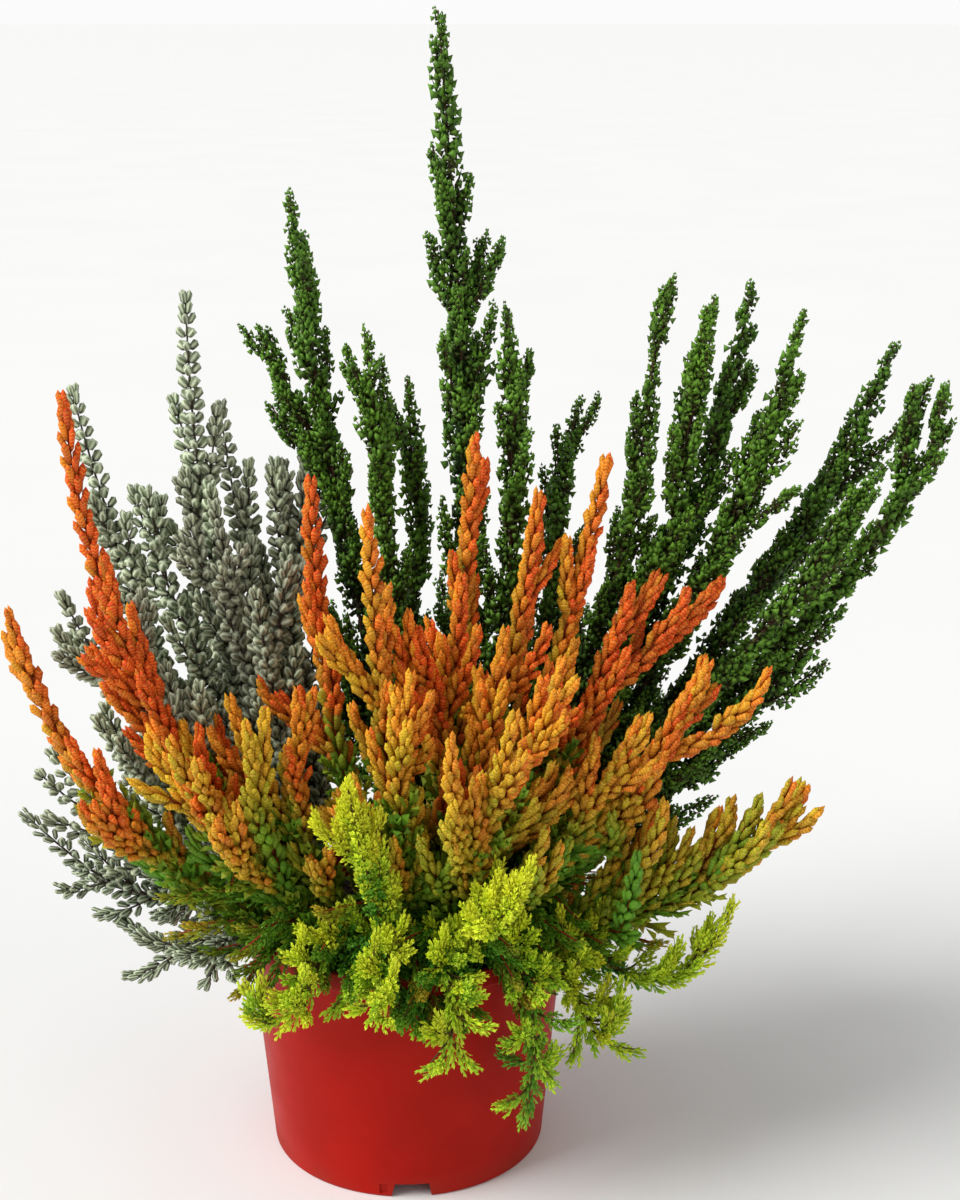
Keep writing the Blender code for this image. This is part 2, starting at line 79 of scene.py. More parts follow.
def distance(name, description, millimetres):
    return bpy.props.FloatProperty(
        name=name, description=description, default=millimetres * MM, min=0, unit="LENGTH"
    )


def angle(name, description, degrees):
    return bpy.props.FloatProperty(
        name=name, description=description, default=math.radians(degrees), subtype="ANGLE"
    )


def factor(name, description, default):
    return bpy.props.FloatProperty(
        name=name, description=description, default=default, min=0, max=1, subtype="FACTOR"
    )


def number(name, description, default):
    return bpy.props.FloatProperty(name=name, description=description, default=default)


class SilverHeather(bpy.types.PropertyGroup):
    """Buds and colours of the silver-grey plant"""

    young: colour("Tip colour", "Buds at the top of a spike", (0.2, 0.265, 0.14))
    grown: colour("Middle colour", "Buds half way down a spike", (0.105, 0.15, 0.075))
    old: colour("Base colour", "Buds deep in the plant", (0.05, 0.075, 0.045))
    warm: colour("Blush colour", "Tint of the warmest spikes", (0.20, 0.19, 0.125))
    pale: colour("Edge colour", "Pale felted leaf edges", (0.74, 0.81, 0.58))
    twig: colour("Stem colour", "Thin woody stems", (0.07, 0.045, 0.03))
    pitch: distance("Whorl spacing", "From one whorl of buds to the next", 5.0)
    bud_length: distance("Bud length", "Length of a barrel-like bud", 5.8)
    bud_width: distance("Bud width", "Width of a barrel-like bud", 4.4)
    slant: angle("Bud slant", "Angle between a bud and its stem", 56)


class GreenHeather(bpy.types.PropertyGroup):
    """Twigs and colours of the dark green plant"""

    young: colour("Tip colour", "Knobs at the top of a spike", (0.07, 0.18, 0.016))
    grown: colour("Middle colour", "Knobs half way down a spike", (0.03, 0.095, 0.01))
    old: colour("Base colour", "Knobs deep in the plant", (0.014, 0.05, 0.01))
    warm: colour("Blush colour", "Tint of the lightest spikes", (0.12, 0.27, 0.02))
    pale: colour("Edge colour", "Fresh points of the knobs", (0.20, 0.38, 0.045))
    twig: colour("Stem colour", "Red-brown stems", (0.07, 0.032, 0.018))
    pitch: distance("Twig spacing", "From one whorl of twigs to the next", 6.6)
    twig_length: distance("Twig length", "Length of a side twig that hugs its stem", 14.0)
    twig_width: distance("Twig width", "Width of a side twig over its knobs", 5.6)
    slant: angle("Twig slant", "Angle between a twig and its stem", 24)


class OrangeHeather(bpy.types.PropertyGroup):
    """Buds and colours of the orange plant"""

    young: colour("Tip colour", "Buds at the top of a yellow spike", (0.86, 0.46, 0.012))
    grown: colour("Middle colour", "Buds half way down a spike", (0.42, 0.46, 0.016))
    old: colour("Base colour", "Needles deep in the plant", (0.11, 0.29, 0.015))
    warm: colour("Blush colour", "Buds of the reddest spikes", (0.84, 0.085, 0.008))
    pale: colour("Edge colour", "Golden leaf edges", (1.0, 0.56, 0.07))
    twig: colour("Stem colour", "Red stems", (0.30, 0.035, 0.012))
    pitch: distance("Whorl spacing", "From one whorl of buds to the next", 4.2)
    bud_length: distance("Bud length", "Length of a club-like bud", 9.2)
    bud_width: distance("Bud width", "Width of a club-like bud", 3.4)
    slant: angle("Bud slant", "Angle between a bud and its stem", 27)


class LimeHeather(bpy.types.PropertyGroup):
    """Twigs and colours of the lime green sprays"""

    young: colour("Tip colour", "Leaves at the top of a spray", (0.86, 0.90, 0.012))
    grown: colour("Middle colour", "Leaves half way down a spray", (0.38, 0.7, 0.022))
    old: colour("Base colour", "Leaves deep in a spray", (0.08, 0.29, 0.02))
    warm: colour("Blush colour", "Yellow leaves", (0.64, 0.62, 0.025))
    pale: colour("Edge colour", "Yellow-green leaf edges", (0.92, 0.95, 0.07))
    twig: colour("Stem colour", "Red-brown stems", (0.12, 0.075, 0.018))
    pitch: distance("Whorl spacing", "From one whorl of tufts to the next", 4.1)
    bud_length: distance("Tuft length", "Length of a leafy tuft", 8.0)
    bud_width: distance("Tuft width", "Width of a leafy tuft", 4.1)
    slant: angle("Tuft slant", "Angle between a tuft and its stem", 38)


class HeatherPot(bpy.types.PropertyGroup):
    """Sizes and finish of the pot"""

    plastic: colour("Plastic colour", "Colour of the moulded plastic", (0.42, 0.007, 0.002))
    dust: colour("Dust colour", "Dry compost dust near the rim and the foot", (0.20, 0.11, 0.07))
    roughness: factor("Roughness", "Roughness of the plastic", 0.38)
    rounding: distance("Edge rounding", "Radius of the moulded edges", 0.5)
    recess: distance("Recess depth", "Depth of the mark beside each notch", 0.8)


class HeatherCompost(bpy.types.PropertyGroup):
    """Crumbs and colours of the compost"""

    dark: colour("Wet colour", "Moist peat", (0.018, 0.011, 0.007))
    light: colour("Dry colour", "Dry fibres and crumbs", (0.085, 0.05, 0.03))
    unevenness: distance("Unevenness", "Height of the heaps in the surface", 2.2)
    crumb: distance("Crumb size", "Size of a middling crumb", 1.7)
    crumbs: bpy.props.IntProperty(
        name="Crumbs", description="Loose crumbs on the surface", default=600, min=0
    )


class HeatherStage(bpy.types.PropertyGroup):
    """Floor, lights and camera"""

    floor: colour("Floor colour", "Plain pale floor", (0.92, 0.92, 0.91))
    ambient: number("Ambient", "Strength of the white surround", 0.45)
    backdrop: number("Backdrop", "Brightness behind the floor", 0.97)
    key: number("Key light", "Soft sun from the upper left", 2.8)
    fill: number("Fill light", "Soft sun from the right", 0.3)
    lens: number("Lens", "Focal length in millimetres", 60)
    pitch: angle("Camera tilt", "How far the camera looks down", 16.35)


SETTINGS = {
    "silver": SilverHeather,
    "green": GreenHeather,
    "orange": OrangeHeather,
    "lime": LimeHeather,
    "pot": HeatherPot,
    "compost": HeatherCompost,
    "stage": HeatherStage,
}

# The routes of the stems
# These values and formulas are those of the solids, so every stem lies inside its own solid.

RIM_RADIUS = 66 * MM
WALL_TOP_RADIUS = 65 * MM
WALL_FOOT_RADIUS = 56 * MM
POT_HEIGHT = 100 * MM
WALL = 1.3 * MM
SOIL_TOP = 88 * MM

STEM_RADIUS = 1.15 * MM
BARE_LENGTH = 10 * MM
CLOTHED_LENGTH = 50 * MM
SIDE_CLOTHED_LENGTH = 14 * MM
CLOTHING_POWER = 0.7
TIP_LENGTH = 25 * MM
CLEARANCE = 0.25 * MM
ROOT_ROOM = 2.7 * MM
LARGEST_STEP = 1.5 * MM
BENDING_ROUNDS = 60
PAIR_ROUNDS = 5
PAIR_MARGIN = 5 * MM
STATIONS = 24
LOWEST_FORK = 4
FORK_ANGLE = math.radians(25)
SHORTEST_SIDE = 30 * MM
FINE_STATIONS = 48
CURVE_STATIONS = 60
ROOT_CIRCLE_RADIUS = 52 * MM
ROOT_PULL = 0.32
FULL_LENGTH = 250 * MM
LEAST_GIRTH = 0.72
LONGEST = 1.6
RISE = 0.8
ROOT_HANDLE = 0.25
TIP_HANDLE = 0.4
TRAILING_RISE = 12
STEM_WAY = 0.5
FORK_HANDLE = 0.3
SIDE_TIP_HANDLE = 0.35
PUSH = 0.22
TIP_YIELD = 0.25
ROOT_UPRIGHT = 0.7
SHOOT_TURN = math.radians(55)
SHOOT_RISE = 0.2
LEAST_SHOOT_GIRTH = 2.2 * MM

# Where each plant's crown sits in the compost, how thick its spikes are at most and at their tips, how
# strongly their ends turn upright, and how long its short shoots are and where they leave the stem
PLANTS = {
    "green": {
        "crown": (20, 24), "girth": 6.4, "tip": 2.6, "upright": 0.35, "shoot": 36, "shoots": (0.24,),
    },
    "silver": {
        "crown": (-25, 14), "girth": 5.8, "tip": 2.4, "upright": 0.45, "shoot": 34, "shoots": (0.22, 0.4),
    },
    "orange": {
        "crown": (4, -22), "girth": 6.4, "tip": 2.8, "upright": 0.55, "shoot": 38, "shoots": (0.2, 0.4),
    },
    "lime": {
        "crown": (4, -26), "girth": 7.4, "tip": 3.2, "upright": 0.3, "shoot": 26,
        "shoots": (0.3, 0.45, 0.6, 0.75),
    },
}

# Each spray: the tips of its spikes in millimetres, the leading spike first
SPRAYS = {
    "green": (
        ((14, 45, 456), (34, 40, 366), (14, 48, 331)),
        ((-47, 62, 385), (-39, 52, 360), (-64, 78, 329), (-55, 66, 298)),
        ((-15, 38, 334), (-21, 46, 319), (-10, 60, 299)),
        ((0, 66, 310), (-4, 76, 290)),
        ((41, 34, 344), (48, 40, 320)),
        ((62, 52, 292), (78, 58, 297)),
        ((100, 40, 326), (95, 36, 256), (108, 56, 347)),
        ((123, 38, 347), (118, 30, 326)),
        ((140, 50, 352), (134, 56, 310)),
        ((159, 34, 343), (150, 26, 272)),
        ((197, 44, 327), (174, 62, 265), (170, 70, 255)),
        ((217, 22, 300), (203, 26, 313), (210, 16, 311)),
        ((188, 6, 287), (181, 2, 274), (175, 10, 261)),
        ((177, 14, 228), (144, 18, 173)),
        ((-40, 110, 200), (-62, 98, 172)),
        ((20, 132, 205), (-4, 122, 178)),
        ((80, 120, 196), (54, 112, 226)),
        ((135, 98, 178), (108, 112, 160)),
    ),
    "silver": (
        ((-87, 42, 347), (-83, 40, 272)),
        ((-132, 30, 312), (-120, 26, 262)),
        ((-77, 56, 302), (-67, 52, 261)),
        ((-109, 26, 273), (-98, 32, 268)),
        ((-76, 22, 266), (-89, 10, 256), (-69, 4, 250)),
        ((-55, 44, 276), (-48, 50, 274), (-34, 62, 274)),
        ((-58, -2, 237), (-44, 12, 244)),
        ((-140, 24, 228), (-136, 12, 209)),
        ((-87, -32, 202), (-80, -26, 199)),
        ((-151, 4, 160), (-122, -8, 186)),
        ((-107, -4, 218), (-99, 0, 233)),
        ((-118, 88, 176), (-92, 100, 204)),
    ),
    "orange": (
        ((-121, -40, 319), (-99, -46, 223)),
        ((-142, -56, 242), (-139, -50, 232)),
        ((-35, -8, 282), (-33, -14, 240)),
        ((-11, -46, 278), (-25, -50, 232)),
        ((28, 8, 295), (32, 14, 282)),
        ((53, -4, 276), (61, 0, 254)),
        ((79, 4, 288), (73, -4, 250)),
        ((23, -14, 246), (15, -20, 223), (-2, -34, 230), (7, -28, 226)),
        ((39, -36, 229), (30, -40, 209)),
        ((89, 0, 237), (101, 6, 237), (122, 8, 234)),
        ((-1, -66, 218), (12, -58, 212)),
        ((53, -58, 218), (65, -52, 216), (60, -70, 206)),
        ((109, -26, 200), (121, -20, 202), (132, -34, 197)),
        ((153, -44, 163), (136, -52, 150)),
        ((42, -78, 211),),
        ((89, -52, 200), (93, -60, 185)),
        ((-64, -42, 204), (-38, -50, 208)),
        ((-91, -58, 201), (-98, -62, 180), (-55, -66, 202), (-73, -72, 191)),
    ),
    "lime": (
        ((-17, -92, 191), (-29, -88, 173)),
        ((47, -104, 161), (30, -98, 140)),
    ),
}

# Sprays that lean out over the rim: the way each one takes from the compost, in millimetres
TRAILING = {
    "silver": (
        ((-38, 2), (-60, 0, 112), (-84, -4, 112), (-118, -6, 118), (-156, -4, 144)),
        ((-34, -12), (-58, -20, 109), (-76, -27, 99), (-98, -16, 94), (-120, -4, 97)),
    ),
    "lime": (
        ((-20, -44), (-28, -58, 110), (-36, -76, 97), (-48, -79, 88), (-60, -70, 103)),
        ((-4, -48), (-5, -64, 112), (-6, -84, 108), (-8, -96, 100), (-6, -102, 112)),
        ((16, -47), (17, -63, 112), (20, -80, 100), (18, -87, 80), (6, -86, 72)),
        ((34, -38), (42, -55, 110), (50, -70, 88), (50, -70, 62), (46, -66, 36)),
        ((42, -30), (57, -46, 109), (70, -56, 84), (78, -58, 76), (86, -54, 96)),
        ((46, -20), (66, -32, 110), (88, -42, 100), (110, -44, 104), (130, -42, 122)),
    ),
}


def unit(vector):
    """Vectors divided by their lengths."""
    return vector / np.linalg.norm(vector, axis=-1, keepdims=True)


def length_of(line):
    """The sum of the distances between a line's stations."""
    return np.linalg.norm(np.diff(line, axis=0), axis=1).sum()


def evenly(points, count):
    """The same line with its stations at equal distances along it."""
    along = np.r_[0, np.cumsum(np.linalg.norm(np.diff(points, axis=0), axis=1))]
    wanted = np.linspace(0, along[-1], count)
    return np.column_stack([np.interp(wanted, along, points[:, axis]) for axis in range(3)])


def bezier(first, second, third, fourth):
    """Bezier's cubic curve: with s = 1 - t it is s^3, 3 s^2 t, 3 s t^2 and t^3 times the four points."""
    t = np.linspace(0, 1, CURVE_STATIONS)[:, None]
    s = 1 - t
    return s**3 * first + 3 * s * s * t * second + 3 * s * t * t * third + t**3 * fourth


def through(points):
    """A smooth line through points, as Catmull and Rom's curve gives it."""
    ends = np.vstack([2 * points[0] - points[1], points, 2 * points[-1] - points[-2]])
    pieces = []
    for number in range(len(points) - 1):
        before, start, end, after = ends[number : number + 4]
        pieces.append(bezier(start, start + (end - before) / 6, end - (after - start) / 6, end)[:-1])
    return np.vstack([*pieces, points[-1:]])


def root_of(plant, tip):
    """A root lies from the plant's crown a share of the way to the tip, inside the root circle."""
    crown = np.array(PLANTS[plant]["crown"]) * MM
    place = crown + ROOT_PULL * (tip[:2] - crown)
    place *= min(1, ROOT_CIRCLE_RADIUS / np.linalg.norm(place))
    return np.array([*place, SOIL_TOP])


def leading_line(plant, tip):
    """A stem rises, leans out to its tip and turns upright towards its end."""
    root = root_of(plant, tip)
    reach = np.linalg.norm(tip - root)
    upright = np.array([0, 0, 1])
    lean = unit(tip - root)
    start = unit(lean + RISE * upright)
    finish = unit(lean + PLANTS[plant]["upright"] * upright)
    return bezier(root, root + start * reach * ROOT_HANDLE, tip - finish * reach * TIP_HANDLE, tip)


def trailing_line(points):
    """A stem that rises a little from its root and goes on through the given points."""
    (x, y), *rest = points
    root = np.array([x, y, SOIL_TOP / MM])
    start = root + (0, 0, TRAILING_RISE)
    return through(np.vstack([root, start, np.array(rest)]) * MM)


def side_line(leader, tip, upright):
    """A side spike leaves its stem where it can reach its tip at about 25 degrees."""
    way = tip - leader[LOWEST_FORK:-1]
    slant = (unit(way) * unit(np.diff(leader, axis=0))[LOWEST_FORK:]).sum(axis=1)
    misfit = np.abs(slant - math.cos(FORK_ANGLE))
    misfit[np.linalg.norm(way, axis=1) < SHORTEST_SIDE] = 2
    fork = LOWEST_FORK + int(np.argmin(misfit))
    return fork, forked_line(leader, fork, tip, upright)


def shoot_line(leader, share, turn, reach, upright):
    """A short shoot points away from the middle of the pot, turned to one side or the other."""
    fork = round(share * (STATIONS - 1))
    root = leader[fork]
    bearing = math.atan2(root[1], root[0]) + turn
    outward = np.array([math.cos(bearing), math.sin(bearing), SHOOT_RISE])
    ahead = unit(leader[fork + 1] - root)
    return fork, forked_line(leader, fork, root + unit(ahead + outward) * reach, upright)


def forked_line(leader, fork, tip, upright):
    """A stem that leaves its leader partly along it, leans to its tip and turns upright at its end."""
    root = leader[fork]
    reach = np.linalg.norm(tip - root)
    lean = unit(tip - root)
    first = unit(lean + unit(leader[fork + 1] - root) * STEM_WAY)
    finish = unit(lean + np.array([0, 0, upright]))
    return bezier(root, root + first * reach * FORK_HANDLE, tip - finish * reach * SIDE_TIP_HANDLE, tip)


def girth_of(plant, length, side):
    """How thick a spike may be at each of its stations: bare at its root, thick, then tapering."""
    look = PLANTS[plant]
    full = look["girth"] * (LEAST_GIRTH + (1 - LEAST_GIRTH) * min(length / FULL_LENGTH, LONGEST)) * MM
    along = np.linspace(0, length, STATIONS)
    above = along / SIDE_CLOTHED_LENGTH if side else (along - BARE_LENGTH) / CLOTHED_LENGTH
    clothed = np.clip(above, 0, 1) ** CLOTHING_POWER
    taper = 1 - np.exp((along - length) / TIP_LENGTH)
    tip = look["tip"] * MM
    return STEM_RADIUS + (tip + (full - tip) * taper - STEM_RADIUS) * clothed


def wall_distance(points):
    """How far points are from the pot's wall, and which way they would leave it."""
    out = np.hypot(points[..., 0], points[..., 1])
    foot = np.array([WALL_FOOT_RADIUS - WALL / 2, 0])
    top = np.array([(WALL_TOP_RADIUS - WALL + RIM_RADIUS) / 2, POT_HEIGHT])
    side = top - foot
    place = np.stack([out, points[..., 2]], axis=-1) - foot
    share = np.clip((place @ side) / (side @ side), 0, 1)
    away = place - share[..., None] * side
    distance = np.linalg.norm(away, axis=-1)
    away /= distance[..., None] + 1e-9
    spread = points[..., :2] / (out[..., None] + 1e-9) * away[..., :1]
    return distance - WALL, np.concatenate([spread, away[..., 1:]], axis=-1)


def lay_out():
    """Every spike of every spray: its plant, spray, line, girth, and the station where it forks."""
    spikes = []
    spray = 0
    for plant, sprays in SPRAYS.items():
        for tips in sprays:
            spikes += spray_spikes(plant, spray, leading_line(plant, np.array(tips[0]) * MM), tips[1:])
            spray += 1
        for points in TRAILING.get(plant, ()):
            spikes += spray_spikes(plant, spray, trailing_line(points), ())
            spray += 1
    return spikes


def spray_spikes(plant, spray, line, side_tips):
    """A spray's leading spike, its side spikes and its short shoots, left and right in turn."""
    leader = evenly(line, STATIONS)
    upright = PLANTS[plant]["upright"]
    lines = [(None, leader)]
    lines += [side_line(leader, np.array(tip) * MM, upright) for tip in side_tips]
    for number, share in enumerate(PLANTS[plant]["shoots"]):
        turn = SHOOT_TURN * (-1) ** (number + spray)
        lines.append(shoot_line(leader, share, turn, PLANTS[plant]["shoot"] * MM, upright))
    spikes = []
    for number, (fork, line) in enumerate(lines):
        line = evenly(line, STATIONS)
        girth = girth_of(plant, length_of(line), fork is not None)
        short = number > len(side_tips)
        parts = {"plant": plant, "spray": spray, "line": line, "girth": girth}
        spikes.append({**parts, "fork": fork, "short": short})
    return spikes


def near_pairs(points, owners, reach):
    """Pairs of stations of different sprays that are nearer to each other than a reach."""
    square = (points**2).sum(axis=1)
    near = square[:, None] + square - 2 * points @ points.T < reach**2
    near &= owners[:, None] < owners
    return np.nonzero(near)


def bend_clear(spikes):
    """Bends the lines away from each other and from the pot, little by little, tips least of all."""
    lines = np.array([spike["line"] for spike in spikes])
    girths = np.array([spike["girth"] for spike in spikes])
    owners = np.repeat([spike["spray"] for spike in spikes], STATIONS)
    room = np.maximum(girths, ROOT_ROOM).reshape(-1)
    yielding = np.linspace(1, TIP_YIELD, STATIONS)[None, :, None]
    reach = 2 * (room.max() + CLEARANCE) + PAIR_MARGIN
    for turn in range(BENDING_ROUNDS):
        points = lines.reshape(-1, 3)
        if turn % PAIR_ROUNDS == 0:
            first, second = near_pairs(points, owners, reach)
        apart = points[first] - points[second]
        distance = np.linalg.norm(apart, axis=1)
        lack = np.clip(room[first] + room[second] + 2 * CLEARANCE - distance, 0, None)
        push = apart * (PUSH * lack / (distance + 1e-6))[:, None]
        moved = [
            np.bincount(first, part, len(points)) - np.bincount(second, part, len(points))
            for part in push.T
        ]
        shift = np.column_stack(moved).reshape(lines.shape)
        shift *= yielding
        gap, away = wall_distance(lines)
        shift += away * np.clip(room.reshape(gap.shape) + 2 * CLEARANCE - gap, 0, None)[..., None]
        shift[:, 0, 2] = 0
        shift[:, 1:-1] = (shift[:, :-2] + 2 * shift[:, 1:-1] + shift[:, 2:]) / 4
        lines = lines + np.clip(shift, -LARGEST_STEP, LARGEST_STEP)
        hold_roots(lines, spikes)
    for spike, line in zip(spikes, lines):
        spike["line"] = line


def hold_roots(lines, spikes):
    """Keeps stems upright in the compost and side spikes on their stems, and evens the stations."""
    leader = 0
    for number, spike in enumerate(spikes):
        if spike["fork"] is None:
            leader = number
            out = np.linalg.norm(lines[number, 0, :2])
            lines[number, 0, :2] *= min(1, ROOT_CIRCLE_RADIUS / out)
            lines[number, 0, 2] = SOIL_TOP
            lines[number, 1, :2] += ROOT_UPRIGHT * (lines[number, 0, :2] - lines[number, 1, :2])
        else:
            step = lines[leader, spike["fork"]] - lines[number, 0]
            lines[number] += step * np.linspace(1, 0, STATIONS)[:, None] ** 2
        lines[number] = evenly(lines[number], STATIONS)


def free_girths(spikes):
    """Slims each spike to half its distance from those of other sprays, so that no two sprays touch."""
    fine = np.array([evenly(spike["line"], FINE_STATIONS) for spike in spikes])
    points = fine.reshape(-1, 3)
    owners = np.repeat([spike["spray"] for spike in spikes], FINE_STATIONS)
    reach = 4 * max(look["girth"] for look in PLANTS.values()) * MM
    first, second = near_pairs(points, owners, reach)
    distance = np.linalg.norm(points[first] - points[second], axis=1)
    limit = np.full(len(points), reach)
    np.minimum.at(limit, first, distance)
    np.minimum.at(limit, second, distance)
    gap, _ = wall_distance(fine)
    limit = np.minimum(limit.reshape(gap.shape) / 2, gap) - CLEARANCE
    for spike, row in zip(spikes, limit):
        row = np.minimum(np.minimum(row, np.r_[row[1:], row[-1]]), np.r_[row[0], row[:-1]])
        coarse = np.linspace(0, 1, STATIONS)
        wanted = np.interp(np.linspace(0, 1, FINE_STATIONS), coarse, spike["girth"])
        spike["wanted"] = wanted
        spike["girth"] = np.minimum(wanted, row)


@functools.lru_cache(maxsize=None)
def all_spikes():
    """Every spike after bending, with short shoots left out where there is no room for them."""
    spikes = lay_out()
    bend_clear(spikes)
    free_girths(spikes)
    return [s for s in spikes if not s["short"] or np.median(s["girth"]) > LEAST_SHOOT_GIRTH]


# Small shapes
# A shape's first coordinate runs from 0 at its foot to 1 at its point, and the other two are shares of
# its width. "along" says how far up the shape a point is, and "edge" is 1 on pale leaf edges. "scales"
# counts the overlapping scale leaves up to a point: its whole numbers are their tips, halves are plain.

Shape = namedtuple("Shape", "points faces along edge smooth scales", defaults=(0.5,))

# Leafy twigs, in millimetres and degrees: the tiers and the leaves in each, the leaves' splays and the
# radii that they start at from foot to tip, the heights of the first and last tier, the core's width,
# and the share of their size that the top leaves have
Twig = namedtuple("Twig", "length width tiers ranks leaf_length leaf_width splays radii span core top")
KNOBBLY_TWIG = Twig(
    length=13.5, width=5.2, tiers=4, ranks=2, leaf_length=4.3, leaf_width=3.7,
    splays=(44, 38, 14), radii=(0.6, 0.7, 0.2), span=(0.6, 9.9), core=2.0, top=0.6,
)
TUFT = Twig(
    length=8, width=4.4, tiers=3, ranks=3, leaf_length=3.8, leaf_width=2.0,
    splays=(38, 30, 14), radii=(0.35, 0.6, 0.3), span=(0.5, 5.0), core=1.6, top=0.8,
)
KNOBBLY_KINDS = 3
TUFT_KINDS = 2
LEAF_WIDEST = 0.66
LEAF_FOLD = 0.34
SCALE_WIDEST = 0.3
CRUMB_WIDEST = 0.45
CRUMB_SIDES = 4


def folded_leaf():
    """A narrow leaf folded along its midrib: foot, two edge corners and point, as a closed four-sided
    body. The midrib is the straight line from foot to point, and the edges lie below it by the fold."""
    corners = [(LEAF_WIDEST, side, -LEAF_FOLD) for side in (0.5, -0.5)]
    points = np.array([(0, 0, 0), *corners, (1, 0, 0)])
    faces = np.array([(0, 3, 1), (0, 2, 3), (0, 1, 2), (3, 2, 1)])
    return Shape(points, faces, points[:, 0], np.array([0.0, 1, 1, 0.8]), False)


def corner_ring(sides, height):
    """Corners at even turns round the axis, half a unit from it, at one height."""
    turns = np.arange(sides) * 2 * math.pi / sides
    return np.column_stack([np.full(sides, height), np.cos(turns) / 2, np.sin(turns) / 2])


def crumb_shape():
    """A small lump: one ring of corners between a foot and a point."""
    points = np.vstack([(0, 0, 0), corner_ring(CRUMB_SIDES, CRUMB_WIDEST), (1, 0, 0)])
    this = np.arange(CRUMB_SIDES)
    after = (this + 1) % CRUMB_SIDES
    low = np.column_stack([after + 1, this + 1, 0 * this])
    high = np.column_stack([this + 1, after + 1, 0 * this + CRUMB_SIDES + 1])
    return Shape(points, np.vstack([low, high]), points[:, 0], np.zeros(len(points)), False)


def scale_leaf():
    """A small blunt scale: three corners near its foot and a point, rounded by smooth shading."""
    points = np.vstack([corner_ring(3, SCALE_WIDEST), (1, 0, 0)])
    faces = np.array([(2, 1, 0), (0, 1, 3), (1, 2, 3), (2, 0, 3)])
    return Shape(points, faces, points[:, 0], np.array([0.2, 0.2, 0.2, 1]), True)


def ribbed_bud(ribs, heights, shares, groove, pale, tiers):
    """A bud with lengthwise ribs: rings at two heights, each corner of a ring in turn on a rib's back
    and in the groove beside it. The radius is half the width times the ring's share."""
    count = 2 * ribs
    this = np.arange(count)
    after = (this + 1) % count
    turns = this * math.pi / ribs
    in_groove = this % 2
    radius = np.array(shares)[:, None] * np.where(in_groove, groove, 1.0) / 2
    height = np.repeat(np.array(heights)[:, None], count, 1)
    ring = np.stack([height, radius * np.cos(turns), radius * np.sin(turns)], -1)
    points = np.vstack([(0, 0, 0), ring.reshape(-1, 3), (1, 0, 0)])
    faces = np.vstack([
        np.column_stack([0 * this, after + 1, this + 1]),
        np.column_stack([0 * this + 2 * count + 1, this + 1 + count, after + 1 + count]),
        np.column_stack([this + 1, after + 1, after + 1 + count]),
        np.column_stack([this + 1, after + 1 + count, this + 1 + count]),
    ])
    edge = np.r_[0, np.tile(pale * in_groove, 2), 0.9 * pale]
    scales = tiers * points[:, 0] + np.r_[0, np.tile(0.5 * in_groove, 2), 0] if tiers else 0.5
    return Shape(points, faces, points[:, 0], edge, True, scales)


def around(starts, turns, splays, lengths, widths, radii):
    """Places and axes of leaves round a straight axis: each starts some way up, at a radius and a turn,
    and leans out from the axis by its splay."""
    zero = np.zeros_like(turns)
    outward = np.column_stack([zero, np.cos(turns), np.sin(turns)])
    across = np.column_stack([zero, np.sin(turns), -np.cos(turns)])
    ahead = np.array([1.0, 0, 0])
    lean, rise = np.sin(splays)[:, None], np.cos(splays)[:, None]
    along = rise * ahead + lean * outward
    out = -lean * ahead + rise * outward
    places = starts[:, None] * ahead + radii[:, None] * outward
    axes = np.stack([along * lengths[:, None], across * widths[:, None], out * widths[:, None]], 1)
    return places, axes


def stamp(shape, places, axes, bends=None):
    """Copies of a shape: a point is its place, plus its coordinates along the three axes, plus the bend
    times the square of its first coordinate."""
    points = places[:, None] + np.einsum("pk,nkd->npd", shape.points, axes)
    if bends is not None:
        points += (shape.points[:, 0] ** 2)[None, :, None] * bends[:, None]
    faces = shape.faces[None] + (np.arange(len(places)) * len(shape.points))[:, None, None]
    return points.reshape(-1, 3), faces.reshape(-1, 3)


def leafy(leaf, twig, draw):
    """Leaves in tiers round an axis, every tier turned by half a gap, with a thin four-cornered core. It
    is worked out in millimetres and scaled to unit length and width."""
    tier = np.repeat(np.arange(twig.tiers), twig.ranks)
    rank = np.tile(np.arange(twig.ranks), twig.tiers)
    count = len(tier)
    share = tier / (twig.tiers - 1)
    starts = twig.span[0] + (twig.span[1] - twig.span[0]) * share
    turns = 2 * math.pi / twig.ranks * (rank + tier / 2) + draw.uniform(-0.25, 0.25, count)
    splay = np.radians(np.interp(share, np.linspace(0, 1, len(twig.splays)), twig.splays))
    splay += np.radians(draw.uniform(-5, 5, count))
    radius = np.interp(share, np.linspace(0, 1, len(twig.radii)), twig.radii)
    size = np.interp(share, [0, 0.25, 0.7, 1], [0.8, 1, 1, twig.top]) * draw.uniform(0.88, 1.1, count)
    places, axes = around(starts, turns, splay, twig.leaf_length * size, twig.leaf_width * size, radius)
    points, faces = stamp(leaf, places, axes)
    core = scale_leaf()
    core_length = twig.span[1] + twig.leaf_length * 0.3
    # The core's along stays at 0.4 or less, so the leaf group darkens it with the painted shade of a bud's
    # foot.
    along = np.r_[points[:, 0] / twig.length, 0.4 * core.along]
    edge = np.r_[np.tile(leaf.edge, count), np.zeros(len(core.points))]
    faces = np.vstack([faces, core.faces + len(points)])
    points = np.vstack([points, core.points * (core_length, twig.core, twig.core)])
    points = points / (twig.length, twig.width, twig.width)
    return Shape(points, faces, np.clip(along, 0, 1), edge, leaf.smooth)


